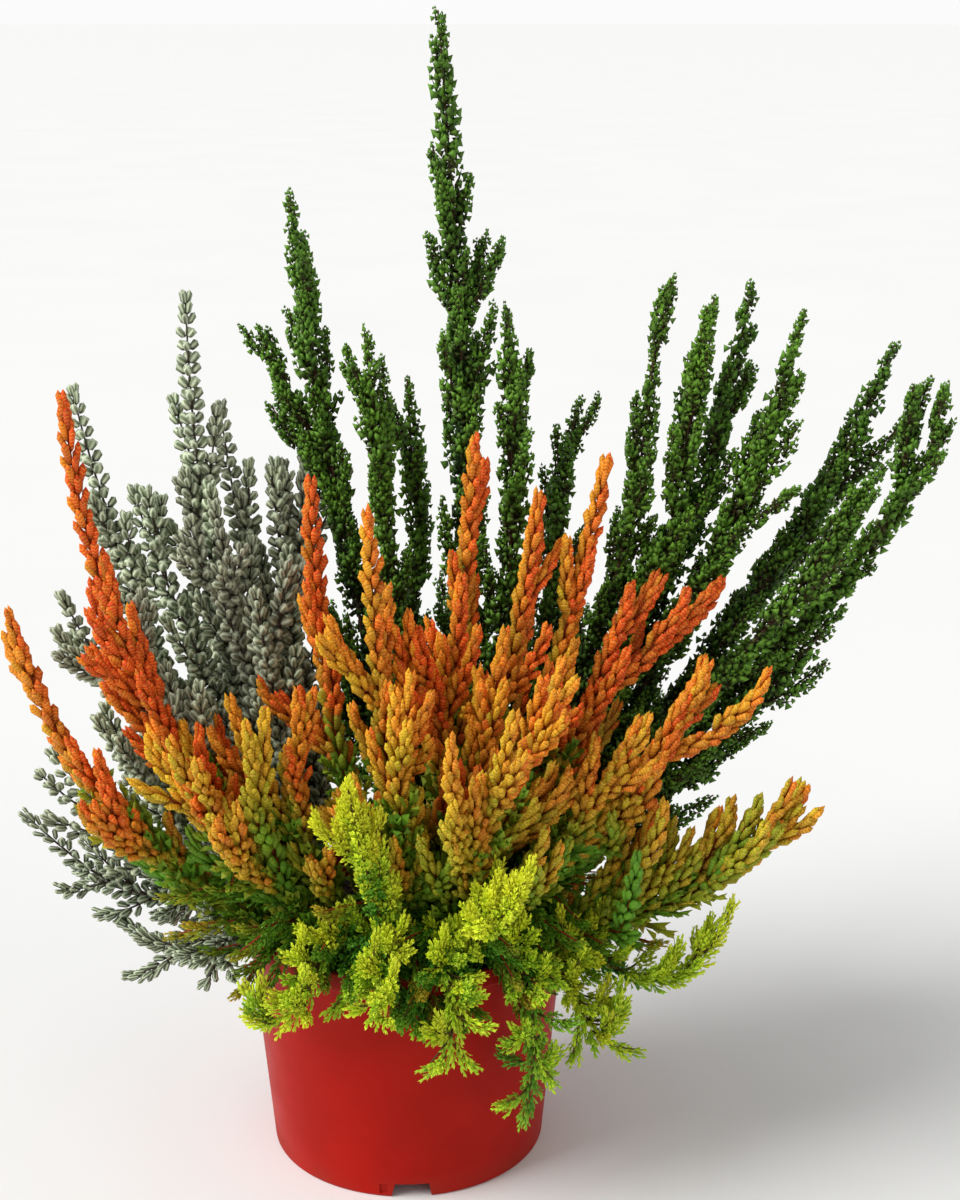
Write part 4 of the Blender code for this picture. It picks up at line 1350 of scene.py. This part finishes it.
def pot_profile():
    """Radius and height along the pot's section: from the middle of its floor up the inside, over the
    rim, down the outside and under the floor."""
    inner = GUTTER_HEIGHT + WALL
    lip_foot = POT_HEIGHT - LIP_HEIGHT
    return (
        (0, WALL),
        (CENTRE_RADIUS - WALL, WALL),
        (GUTTER_INNER_RADIUS - WALL, inner),
        (wall_radius(inner) - WALL, inner),
        (wall_radius(POT_HEIGHT) - WALL, POT_HEIGHT),
        (RIM_RADIUS, POT_HEIGHT),
        (RIM_RADIUS - RIM_DRAFT, lip_foot),
        (wall_radius(lip_foot), lip_foot - LIP_STEP),
        *((wall_radius(height), height) for height in MARK_RINGS),
        (WALL_FOOT_RADIUS - FOOT_DRAFT, 0),
        (WALL_FOOT_RADIUS - WALL - RING_EXTRA, 0),
        (wall_radius(GUTTER_HEIGHT) - WALL - RING_EXTRA, GUTTER_HEIGHT),
        (GUTTER_INNER_RADIUS, GUTTER_HEIGHT),
        (CENTRE_RADIUS, 0),
        (0, 0),
    )


def revolved(profile, turns, shape_ring):
    """A closed surface round the axis: the profile's two ends are poles, and shape_ring may move the
    radius and height of every ring at every turn."""
    radius = np.repeat(profile[1:-1, :1], len(turns), 1)
    height = np.repeat(profile[1:-1, 1:], len(turns), 1)
    radius, height = shape_ring(radius, height, turns[None])
    rings = np.stack([radius * np.cos(turns), radius * np.sin(turns), height], -1)
    points = np.vstack([(0, 0, profile[0, 1]), rings.reshape(-1, 3), (0, 0, profile[-1, 1])])
    count = len(turns)
    this = np.arange(count)
    after = (this + 1) % count
    level = 1 + count * np.arange(len(rings) - 1)[:, None]
    quads = np.stack([level + this, level + count + this, level + count + after, level + after], -1)
    quads = quads.reshape(-1, 4)
    last = len(points) - 1
    first_fan = np.column_stack([0 * this, this + 1, after + 1])
    last_fan = np.column_stack([0 * this + last, after + last - count, this + last - count])
    triangles = np.vstack([quads[:, :3], quads[:, [0, 2, 3]], first_fan, last_fan])
    return points, triangles


def notch_shape(radius, height, turns, recess):
    """Raises the standing ring's foot over each notch, and presses a shallow mark beside its left side,
    which slants out. The notch's right lower corner is rounded."""
    offset = (turns - NOTCH_TURNS[:, None] + math.pi) % (2 * math.pi) - math.pi
    across = offset[np.abs(offset).argmin(0), np.arange(turns.shape[1])] * WALL_FOOT_RADIUS
    slope = np.clip((NOTCH_HALF_FOOT - np.abs(across)) / (NOTCH_HALF_FOOT - NOTCH_HALF_TOP), 0, 1)
    lift = NOTCH_HEIGHT * np.where(across > 0, np.sin(slope * math.pi / 2), slope)
    low = np.clip(1 - height / GUTTER_HEIGHT, 0, 1)
    raised = height + lift * low
    outer = radius > wall_radius(height) - 0.7 * WALL
    marked = np.abs(across + MARK_OFFSET) < MARK_HALF_WIDTH
    pressed = np.where(outer & marked & (height > MARK_FOOT) & (height < MARK_TOP), recess, 0)
    return radius + (raised - height) * WALL_SLOPE - pressed, raised


def make_pot(settings):
    """The pot's section revolved, with notches in its foot, and its drain holes cut."""
    profile = divided(rounded(pot_profile(), settings.rounding), LONGEST_STRAIGHT)
    fine = np.array(NOTCH_STATIONS) * MM
    offsets = np.r_[-fine, fine] / WALL_FOOT_RADIUS
    even = np.linspace(0, 2 * math.pi, POT_TURNS, endpoint=False)
    turns = np.r_[even, (NOTCH_TURNS[:, None] + offsets).ravel()]
    turns = np.unique(np.round(turns % (2 * math.pi), 4))
    points, faces = revolved(profile, turns, lambda r, z, t: notch_shape(r, z, t, settings.recess))
    item = add_mesh("pot_shell", points, faces[:, ::-1], np.ones(len(faces), bool), {})
    cutters = bpy.data.collections.new("drain cutters")
    for number in range(DRAIN_HOLES):
        turn = (number + 0.5) * 2 * math.pi / DRAIN_HOLES
        cutters.objects.link(drain_cutter(number, turn))
    cut = item.modifiers.new("drains", "BOOLEAN")
    cut.operation = "DIFFERENCE"
    cut.operand_type = "COLLECTION"
    cut.collection = cutters
    cut.solver = "EXACT"
    apply_modifiers(item)
    for cutter in list(cutters.objects):
        bpy.data.objects.remove(cutter)
    bpy.data.collections.remove(cutters)
    item.data.set_sharp_from_angle(angle=SHARP_ANGLE)
    item.data.materials.append(plastic_material(settings))
    finish_piece(item, "pot")


def drain_cutter(number, turn):
    """An upright cylinder through the gutter's floor."""
    this = np.arange(DRAIN_SIDES)
    turns = this * 2 * math.pi / DRAIN_SIDES
    centre = DRAIN_CIRCLE_RADIUS * np.array([math.cos(turn), math.sin(turn)])
    ring = centre + DRAIN_HOLE_RADIUS * np.column_stack([np.cos(turns), np.sin(turns)])
    ends = (GUTTER_HEIGHT - CUTTER_EXTRA, GUTTER_HEIGHT + WALL + CUTTER_EXTRA)
    points = np.vstack([np.column_stack([ring, np.full(DRAIN_SIDES, height)]) for height in ends])
    after = (this + 1) % DRAIN_SIDES
    upper = this + DRAIN_SIDES
    walls = np.column_stack([this, after, after + DRAIN_SIDES, upper]).tolist()
    mesh = bpy.data.meshes.new(f"drain_{number}")
    mesh.from_pydata(points.tolist(), [], [*walls, this[::-1].tolist(), upper.tolist()])
    return bpy.data.objects.new(f"drain_{number}", mesh)


def apply_modifiers(item):
    """Puts the mesh that the modifiers give in place of the object's own."""
    bpy.context.view_layer.update()
    graph = bpy.context.evaluated_depsgraph_get()
    finished = bpy.data.meshes.new_from_object(item.evaluated_get(graph))
    item.modifiers.clear()
    item.data = finished


NOISE_GRID = 64


def value_noise(x, y, cell, draw):
    """Smooth random heights: a coarse grid of random values, blended between its points by the smooth
    curve 3t^2 - 2t^3 in both directions."""
    grid = draw.uniform(-1, 1, (NOISE_GRID, NOISE_GRID))
    u, v = x / cell + NOISE_GRID / 2, y / cell + NOISE_GRID / 2
    i, j = np.floor(u).astype(int), np.floor(v).astype(int)
    s, t = u - i, v - j
    s, t = s * s * (3 - 2 * s), t * t * (3 - 2 * t)
    i, j, right, above = (index % NOISE_GRID for index in (i, j, i + 1, j + 1))
    low = grid[i, j] * (1 - s) + grid[right, j] * s
    high = grid[i, above] * (1 - s) + grid[right, above] * s
    return low * (1 - t) + high * t


TOP_RINGS = 26
TOP_TURNS = 80
COMPOST_STRAIGHT = 16 * MM
COMPOST_GAP = 0.3 * MM
CRUMB_SEED = 21
HEAP_SEED = 22

# The noises that heap the compost's top, as the size of their cells and their share of the height, and
# how far in from its edge the heaps have their full height, and what share they have at the edge
HEAPS = ((15 * MM, 1.0), (5 * MM, 0.55), (1.9 * MM, 0.4))
HEAP_EDGE = 6 * MM
HEAP_EDGE_SHARE = 0.35

# Crumbs: how far they lie off the surface's points and inside its edge, how much their sizes and their
# three lengths vary, and how many of them are long and by how much
CRUMB_SPREAD = 0.6 * MM
CRUMB_EDGE = 1.5 * MM
CRUMB_SIZE_SPREAD = 0.4
CRUMB_LENGTHS = (0.6, 1.3)
LONG_CRUMBS = 0.2
LONG_CRUMB = 2.2


def make_compost(settings):
    """The plug's side and underside follow the pot, its top is heaped by noise, and crumbs lie on it."""
    draw = np.random.default_rng(CRUMB_SEED)
    gap = COMPOST_GAP
    gutter = GUTTER_HEIGHT + WALL + gap
    inset = WALL + 2 * gap
    edge = wall_radius(SOIL_TOP) - inset
    top = [(radius, SOIL_TOP) for radius in np.linspace(0, edge, TOP_RINGS)]
    profile = divided(np.array([
        *top,
        (wall_radius(gutter) - inset, gutter),
        (GUTTER_INNER_RADIUS - WALL - gap, gutter),
        (CENTRE_RADIUS - WALL - 2 * gap, WALL + gap),
        (0, WALL + gap),
    ]), COMPOST_STRAIGHT)
    grids = np.random.default_rng(HEAP_SEED)

    def heap(radius, height, turns):
        """Raises the top's rings by the sum of the noises, each times its share, less so at the edge."""
        x, y = radius * np.cos(turns), radius * np.sin(turns)
        bump = sum(value_noise(x, y, cell, grids) * share for cell, share in HEAPS)
        calm = np.clip((edge - radius) / HEAP_EDGE, 0, 1)
        calm = HEAP_EDGE_SHARE + (1 - HEAP_EDGE_SHARE) * calm
        on_top = height > SOIL_TOP - 1e-6
        return radius, height + np.where(on_top, settings.unevenness * (bump * calm), 0)

    turns = np.linspace(0, 2 * math.pi, TOP_TURNS, endpoint=False)
    points, faces = revolved(profile, turns, heap)
    surface = points[1 : 1 + (TOP_RINGS - 1) * TOP_TURNS]
    count = settings.crumbs
    perch = surface[draw.integers(0, len(surface), count)]
    perch = perch + draw.uniform(-1, 1, (count, 3)) * CRUMB_SPREAD
    perch = perch[np.hypot(perch[:, 0], perch[:, 1]) < edge - CRUMB_EDGE]
    count = len(perch)
    sizes = settings.crumb * draw.lognormal(0, CRUMB_SIZE_SPREAD, count)
    first = unit(draw.normal(size=(count, 3)))
    second = unit(np.cross(first, draw.normal(size=(count, 3))))
    third = np.cross(first, second)
    scales = sizes[:, None] * draw.uniform(*CRUMB_LENGTHS, (count, 3))
    scales[:, 0] *= np.where(draw.uniform(size=count) < LONG_CRUMBS, LONG_CRUMB, 1.0)
    axes = np.stack([first * scales[:, :1], second * scales[:, 1:2], third * scales[:, 2:]], 1)
    crumb = crumb_shape()
    crumbs, crumb_faces = stamp(crumb, perch - axes[:, 0] / 2, axes)
    chance = np.r_[np.full(len(points), 0.3), np.repeat(draw.uniform(0, 1, count), len(crumb.points))]
    smooth = np.r_[np.ones(len(faces), bool), np.zeros(len(crumb_faces), bool)]
    faces = np.vstack([faces[:, ::-1], crumb_faces + len(points)])
    item = add_mesh("compost_surface", np.vstack([points, crumbs]), faces, smooth, {"crumb": chance})
    item.data.materials.append(compost_material(settings))
    finish_piece(item, "compost")


# Materials


def put(tree, kind, inputs=None, **settings):
    """Adds a node: settings are its properties, and inputs are values or other nodes' sockets."""
    item = tree.nodes.new(kind)
    for key, value in settings.items():
        setattr(item, key, value)
    for key, value in (inputs or {}).items():
        if isinstance(value, bpy.types.NodeSocket):
            tree.links.new(value, item.inputs[key])
        else:
            item.inputs[key].default_value = value
    return item


def reckon(tree, operation, first, second):
    """What a sum with two values gives."""
    return put(tree, "ShaderNodeMath", {0: first, 1: second}, operation=operation).outputs[0]


def times(tree, first, second):
    """The product of two values."""
    return reckon(tree, "MULTIPLY", first, second)


def rest(tree, value):
    """What is left of 1 beside a value."""
    return reckon(tree, "SUBTRACT", 1.0, value)


def mixed(tree, share, first, second, how="MIX"):
    """The first colour, with a share of the second mixed in."""
    item = put(tree, "ShaderNodeMix", {0: share, 6: first, 7: second}, data_type="RGBA", blend_type=how)
    return item.outputs[2]


def ramped(tree, value, low, high, start=0.0, end=1.0):
    """A smooth step from start to end while the value goes from low to high."""
    inputs = {"Value": value, "From Min": low, "From Max": high, "To Min": start, "To Max": end}
    return put(tree, "ShaderNodeMapRange", inputs, interpolation_type="SMOOTHSTEP").outputs[0]


def new_group(name, floats, colours, outputs):
    """A node group with named number and colour inputs. Returns its tree and its inner sockets."""
    tree = bpy.data.node_groups.new(name, "ShaderNodeTree")
    for label, default in floats.items():
        socket = tree.interface.new_socket(label, in_out="INPUT", socket_type="NodeSocketFloat")
        socket.default_value = default
    for label in colours:
        tree.interface.new_socket(label, in_out="INPUT", socket_type="NodeSocketColor")
    for label, kind in outputs.items():
        tree.interface.new_socket(label, in_out="OUTPUT", socket_type=f"NodeSocket{kind}")
    return tree, tree.nodes.new("NodeGroupInput").outputs, tree.nodes.new("NodeGroupOutput").inputs


@functools.lru_cache(maxsize=None)
def grain_group():
    """Fine noise on the surface, for height and for a change of tone."""
    floats = {"Scale": 100.0, "Detail": 3.0}
    tree, given, result = new_group("Grain", floats, (), {"Tone": "Float", "Height": "Float"})
    place = put(tree, "ShaderNodeTexCoord").outputs["Object"]
    noise = {"Vector": place, "Scale": given["Scale"], "Detail": given["Detail"]}
    coarse = put(tree, "ShaderNodeTexNoise", noise)
    finer = times(tree, given["Scale"], 5.0)
    fine = put(tree, "ShaderNodeTexNoise", {"Vector": place, "Scale": finer, "Detail": 2.0})
    tree.links.new(ramped(tree, coarse.outputs["Fac"], 0.3, 0.7), result["Tone"])
    tree.links.new(fine.outputs["Fac"], result["Height"])
    return tree


def grain_node(tree, scale):
    """The grain, with so many spots to the metre."""
    return put(tree, "ShaderNodeGroup", {"Scale": scale}, node_tree=grain_group())


BLACK = (0.0, 0.0, 0.0, 1.0)


@functools.lru_cache(maxsize=None)
def leaf_group():
    """Leaf colour by age down the spike, pale edges, blush and chance, with painted shade by place on the
    bud: at the buds' feet and just above the tips of overlapping scale leaves.
    """
    floats = {
        "Age": 0.0, "Along": 0.5, "Chance": 0.5, "Edge": 0.0, "Bark": 0.0, "Blush": 0.0,
        "Edge strength": 0.4, "Shade strength": 0.5, "Variety": 0.4, "Tone": 0.5, "Scales": 0.5,
    }
    colours = ("Young", "Grown", "Old", "Warm", "Pale", "Twig", "Edge of old leaves")
    outputs = {"Colour": "Color", "Roughness": "Float"}
    tree, given, result = new_group("Leaf tones", floats, colours, outputs)
    upper = ramped(tree, given["Age"], 0.0, 0.55)
    lower = ramped(tree, given["Age"], 0.5, 1.0)
    tone = mixed(tree, upper, given["Young"], given["Grown"])
    fading = rest(tree, ramped(tree, given["Age"], 0.3, 1.0))
    tone = mixed(tree, times(tree, given["Blush"], fading), tone, given["Warm"])
    tone = mixed(tree, lower, tone, given["Old"])
    # Painted shade: each bud is darkened towards its foot, where the stem and the buds round it shade it. The
    # shade colour is the stem's colour, or deep down the old leaves' colour, darkened towards black.
    foot = rest(tree, ramped(tree, given["Along"], 0.0, 0.6))
    twig_shade = mixed(tree, 0.55, given["Twig"], BLACK)
    inner = mixed(tree, lower, twig_shade, mixed(tree, 0.6, given["Old"], BLACK))
    tone = mixed(tree, times(tree, foot, given["Shade strength"]), tone, inner)
    # Painted shadow: just above each whole number of the scales, where a scale leaf comes out from under the
    # tip of the leaf below, the colour is darkened towards the same shade colour.
    scale = reckon(tree, "FRACT", given["Scales"], 0.0)
    scale_shadow = rest(tree, ramped(tree, scale, 0.0, 0.4))
    tone = mixed(tree, times(tree, scale_shadow, 0.55), tone, inner)
    rim = reckon(tree, "MAXIMUM", ramped(tree, given["Edge"], 0.3, 1.0), ramped(tree, scale, 0.55, 0.9))
    rim = times(tree, rim, given["Edge strength"])
    for softener in (lower, given["Blush"]):
        rim = times(tree, rim, rest(tree, times(tree, softener, 0.45)))
    fresh = mixed(tree, 0.4, given["Old"], given["Edge of old leaves"])
    tone = mixed(tree, rim, tone, mixed(tree, lower, given["Pale"], fresh))
    own = times(tree, given["Chance"], 0.7)
    spread = reckon(tree, "ADD", own, times(tree, given["Tone"], 0.3))
    spread = times(tree, reckon(tree, "SUBTRACT", spread, 0.5), given["Variety"])
    light = reckon(tree, "ADD", spread, 1.0)
    grey = put(tree, "ShaderNodeCombineColor", {0: light, 1: light, 2: light}).outputs[0]
    tone = mixed(tree, 1.0, tone, grey, "MULTIPLY")
    tone = mixed(tree, given["Bark"], tone, given["Twig"])
    tree.links.new(tone, result["Colour"])
    tree.links.new(reckon(tree, "ADD", 0.5, times(tree, given["Tone"], 0.2)), result["Roughness"])
    return tree


# How pale each plant's leaf edges are, how strong the painted shade at its buds' feet is, and how much its
# buds differ in tone
LEAF_FINISH = {
    "silver": {"Edge strength": 0.95, "Shade strength": 1.0, "Variety": 0.6},
    "green": {"Edge strength": 0.5, "Shade strength": 0.95, "Variety": 0.9},
    "orange": {"Edge strength": 0.6, "Shade strength": 0.9, "Variety": 0.5},
    "lime": {"Edge strength": 0.6, "Shade strength": 0.3, "Variety": 0.45},
}

# The leaf edges deep in all plants but the silver one
FRESH_GREEN = (0.42, 0.62, 0.06)


def new_material(name):
    """A material with its node tree and its shader node."""
    material = bpy.data.materials.new(name)
    material.use_nodes = True
    return material, material.node_tree, material.node_tree.nodes["Principled BSDF"]


def foliage_material(plant, settings):
    """Matt leaves, tinted by their attributes, with a fine grain."""
    material, tree, shader = new_material(f"{plant} leaves")
    growth = put(tree, "ShaderNodeAttribute", attribute_name="growth").outputs["Vector"]
    marks = put(tree, "ShaderNodeAttribute", attribute_name="marks").outputs["Vector"]
    age = put(tree, "ShaderNodeSeparateXYZ", {0: growth}).outputs
    edge = put(tree, "ShaderNodeSeparateXYZ", {0: marks}).outputs
    scales = put(tree, "ShaderNodeAttribute", attribute_name="scales").outputs["Fac"]
    grain = grain_node(tree, 240)
    inputs = {
        **dict(zip(("Age", "Along", "Chance"), age)),
        **dict(zip(("Edge", "Bark", "Blush"), edge)),
        "Tone": grain.outputs["Tone"],
        "Scales": scales,
        **LEAF_FINISH[plant],
    }
    tones = put(tree, "ShaderNodeGroup", inputs, node_tree=leaf_group())
    for key in ("young", "grown", "old", "warm", "pale", "twig"):
        tones.inputs[key.capitalize()].default_value = (*getattr(settings, key), 1)
    fresh = settings.pale if plant == "silver" else FRESH_GREEN
    tones.inputs["Edge of old leaves"].default_value = (*fresh, 1)
    tree.links.new(tones.outputs["Colour"], shader.inputs["Base Color"])
    tree.links.new(tones.outputs["Roughness"], shader.inputs["Roughness"])
    roughen(tree, shader, grain.outputs["Height"], 0.25, 0.4 * MM)
    shader.inputs["Specular IOR Level"].default_value = 0.25
    shader.inputs["Sheen Weight"].default_value = 0.12 if plant == "silver" else 0.0
    return material


def roughen(tree, shader, height, strength, depth):
    """Gives a material's surface a bump."""
    bump = put(tree, "ShaderNodeBump", {"Height": height, "Strength": strength, "Distance": depth})
    tree.links.new(bump.outputs[0], shader.inputs["Normal"])


def plastic_material(settings):
    """Moulded plastic: even red, a little worn gloss, faint upright flow lines and dust."""
    material, tree, shader = new_material("red plastic")
    grain = grain_node(tree, 38)
    place = put(tree, "ShaderNodeTexCoord").outputs["Object"]
    height = put(tree, "ShaderNodeSeparateXYZ", {0: place}).outputs[2]
    near_foot = ramped(tree, height, 0.0, 0.012, 1.0, 0.0)
    near_rim = ramped(tree, height, 0.088, 0.1005)
    dusty = times(tree, reckon(tree, "MAXIMUM", near_foot, near_rim), grain.outputs["Tone"])
    dusty = times(tree, dusty, 0.22)
    plastic = (*settings.plastic, 1)
    deeper = tuple(value * 0.86 for value in settings.plastic) + (1,)
    tone = mixed(tree, grain.outputs["Tone"], plastic, deeper)
    tone = mixed(tree, dusty, tone, (*settings.dust, 1))
    tree.links.new(tone, shader.inputs["Base Color"])
    rough = times(tree, grain.outputs["Tone"], 0.1)
    rough = reckon(tree, "ADD", rough, settings.roughness)
    rough = reckon(tree, "ADD", rough, dusty)
    tree.links.new(rough, shader.inputs["Roughness"])
    stretch = put(tree, "ShaderNodeMapping", {"Vector": place, "Scale": (260.0, 260.0, 6.0)}).outputs[0]
    flow = put(tree, "ShaderNodeTexNoise", {"Vector": stretch, "Scale": 1.0, "Detail": 2.0}).outputs["Fac"]
    relief = reckon(tree, "ADD", flow, times(tree, grain.outputs["Height"], 0.4))
    roughen(tree, shader, relief, 0.12, 0.3 * MM)
    shader.inputs["Specular IOR Level"].default_value = 0.1
    return material


def compost_material(settings):
    """Dull peat with a coarse grain, lighter on some crumbs than on others."""
    material, tree, shader = new_material("moist compost")
    grain = grain_node(tree, 420)
    crumb = put(tree, "ShaderNodeAttribute", attribute_name="crumb").outputs["Fac"]
    share = times(tree, ramped(tree, crumb, 0.2, 1.0), 0.6)
    share = reckon(tree, "ADD", share, times(tree, grain.outputs["Tone"], 0.4))
    tone = mixed(tree, share, (*settings.dark, 1), (*settings.light, 1))
    tree.links.new(tone, shader.inputs["Base Color"])
    roughen(tree, shader, grain.outputs["Height"], 0.6, 0.8 * MM)
    shader.inputs["Roughness"].default_value = 0.93
    return material


# Stage

CAMERA_PLACE = (0.030, -0.751, 0.451)
SENSOR_WIDTH = 36
FLOOR_RADIUS = 90
FLOOR_SIDES = 96

# Where the two soft lights stand, what they shine at, and how wide they seem, in degrees
KEY_PLACE = (-1.05, -0.35, 1.15)
KEY_WIDTH = 40
FILL_PLACE = (1.1, -0.8, 0.7)
FILL_WIDTH = 60
AIM = (0, 0, 0.2)


def make_stage(settings):
    """A wide pale floor disc, a white surround, two soft lights and the camera."""
    turns = np.linspace(0, 2 * math.pi, FLOOR_SIDES, endpoint=False)
    ring = np.column_stack([FLOOR_RADIUS * np.cos(turns), FLOOR_RADIUS * np.sin(turns), 0 * turns])
    points = np.vstack([(0, 0, 0), ring])
    this = np.arange(FLOOR_SIDES)
    faces = np.column_stack([0 * this, this + 1, (this + 1) % FLOOR_SIDES + 1])
    floor = add_mesh("floor", points, faces, np.ones(len(faces), bool), {})
    material, tree, shader = new_material("pale floor")
    grain = grain_node(tree, 3)
    pale = (*settings.floor, 1)
    darker = tuple(value * 0.985 for value in settings.floor) + (1,)
    tone = mixed(tree, grain.outputs["Tone"], pale, darker)
    tree.links.new(tone, shader.inputs["Base Color"])
    shader.inputs["Roughness"].default_value = 0.9
    floor.data.materials.append(material)

    world = bpy.data.worlds.new("white surround")
    bpy.context.scene.world = world
    world.use_nodes = True
    surround = world.node_tree.nodes["Background"]
    surround.inputs["Color"].default_value = (1, 1, 1, 1)
    seen = put(world.node_tree, "ShaderNodeLightPath").outputs["Is Camera Ray"]
    strength = ramped(world.node_tree, seen, 0.0, 1.0, settings.ambient, settings.backdrop)
    world.node_tree.links.new(strength, surround.inputs["Strength"])

    soft_light("key", KEY_PLACE, KEY_WIDTH, settings.key)
    soft_light("fill", FILL_PLACE, FILL_WIDTH, settings.fill)

    camera = bpy.data.cameras.new("camera")
    camera.lens = settings.lens
    camera.sensor_width = SENSOR_WIDTH
    viewer = bpy.data.objects.new("camera", camera)
    viewer.location = CAMERA_PLACE
    viewer.rotation_euler = (math.pi / 2 - settings.pitch, 0, 0)
    bpy.context.scene.collection.objects.link(viewer)
    bpy.context.scene.camera = viewer
    bpy.context.scene.view_settings.view_transform = "Standard"


def soft_light(name, place, width, power):
    """A distant light as wide as a softbox seems from the plants, in degrees."""
    lamp = bpy.data.lights.new(name, "SUN")
    lamp.angle = math.radians(width)
    lamp.energy = power
    item = bpy.data.objects.new(name, lamp)
    item.location = place
    aim = np.array(AIM) - np.array(place)
    yaw = math.atan2(aim[1], aim[0]) - math.pi / 2
    tilt = math.atan2(-aim[2], math.hypot(aim[0], aim[1]))
    item.rotation_euler = (math.pi / 2 - tilt, 0, yaw)
    bpy.context.scene.collection.objects.link(item)


# The add-on


class HEATHER_OT_pot(bpy.types.Operator):
    """Makes the moulded plastic pot"""

    bl_idname = "heather.make_pot"
    bl_label = "Make pot"

    def execute(self, context):
        make_pot(context.scene.heather_pot)
        return {"FINISHED"}


class HEATHER_OT_compost(bpy.types.Operator):
    """Makes the crumbly compost"""

    bl_idname = "heather.make_compost"
    bl_label = "Make compost"

    def execute(self, context):
        make_compost(context.scene.heather_compost)
        return {"FINISHED"}


class HEATHER_OT_silver(bpy.types.Operator):
    """Dresses the silver-grey sprays in barrel-like buds"""

    bl_idname = "heather.dress_silver"
    bl_label = "Dress silver plant"

    def execute(self, context):
        make_plant("silver", context.scene.heather_silver)
        return {"FINISHED"}


class HEATHER_OT_green(bpy.types.Operator):
    """Dresses the dark green sprays in knobbly twigs"""

    bl_idname = "heather.dress_green"
    bl_label = "Dress green plant"

    def execute(self, context):
        make_plant("green", context.scene.heather_green)
        return {"FINISHED"}


class HEATHER_OT_orange(bpy.types.Operator):
    """Dresses the orange sprays in club-like buds and leafy twigs"""

    bl_idname = "heather.dress_orange"
    bl_label = "Dress orange plant"

    def execute(self, context):
        make_plant("orange", context.scene.heather_orange)
        return {"FINISHED"}


class HEATHER_OT_lime(bpy.types.Operator):
    """Dresses the lime green sprays in leafy tufts"""

    bl_idname = "heather.dress_lime"
    bl_label = "Dress lime sprays"

    def execute(self, context):
        make_plant("lime", context.scene.heather_lime)
        return {"FINISHED"}


class HEATHER_OT_stage(bpy.types.Operator):
    """Makes the floor, the lights and the camera"""

    bl_idname = "heather.make_stage"
    bl_label = "Make stage"

    def execute(self, context):
        make_stage(context.scene.heather_stage)
        return {"FINISHED"}


OPERATORS = (
    HEATHER_OT_stage,
    HEATHER_OT_pot,
    HEATHER_OT_compost,
    HEATHER_OT_silver,
    HEATHER_OT_green,
    HEATHER_OT_orange,
    HEATHER_OT_lime,
)


class HEATHER_PT_panel(bpy.types.Panel):
    """Lists the steps that make the potted heather, with their settings"""

    bl_idname = "HEATHER_PT_panel"
    bl_label = "Potted heather"
    bl_space_type = "VIEW_3D"
    bl_region_type = "UI"
    bl_category = "Heather"

    def draw(self, context):
        for operator in OPERATORS:
            self.layout.operator(operator.bl_idname)
        for key, group in SETTINGS.items():
            box = self.layout.box()
            box.label(text=group.__doc__)
            for name in group.__annotations__:
                box.prop(getattr(context.scene, f"heather_{key}"), name)


def register():
    for group in (*SETTINGS.values(), *OPERATORS, HEATHER_PT_panel):
        bpy.utils.register_class(group)
    for key, group in SETTINGS.items():
        setattr(bpy.types.Scene, f"heather_{key}", bpy.props.PointerProperty(type=group))


def unregister():
    for key in SETTINGS:
        delattr(bpy.types.Scene, f"heather_{key}")
    for group in (HEATHER_PT_panel, *reversed(OPERATORS), *reversed(SETTINGS.values())):
        bpy.utils.unregister_class(group)


def main():
    register()
    for operator in OPERATORS:
        group, name = operator.bl_idname.split(".")
        getattr(getattr(bpy.ops, group), name)()


if __name__ == "__main__":
    main()
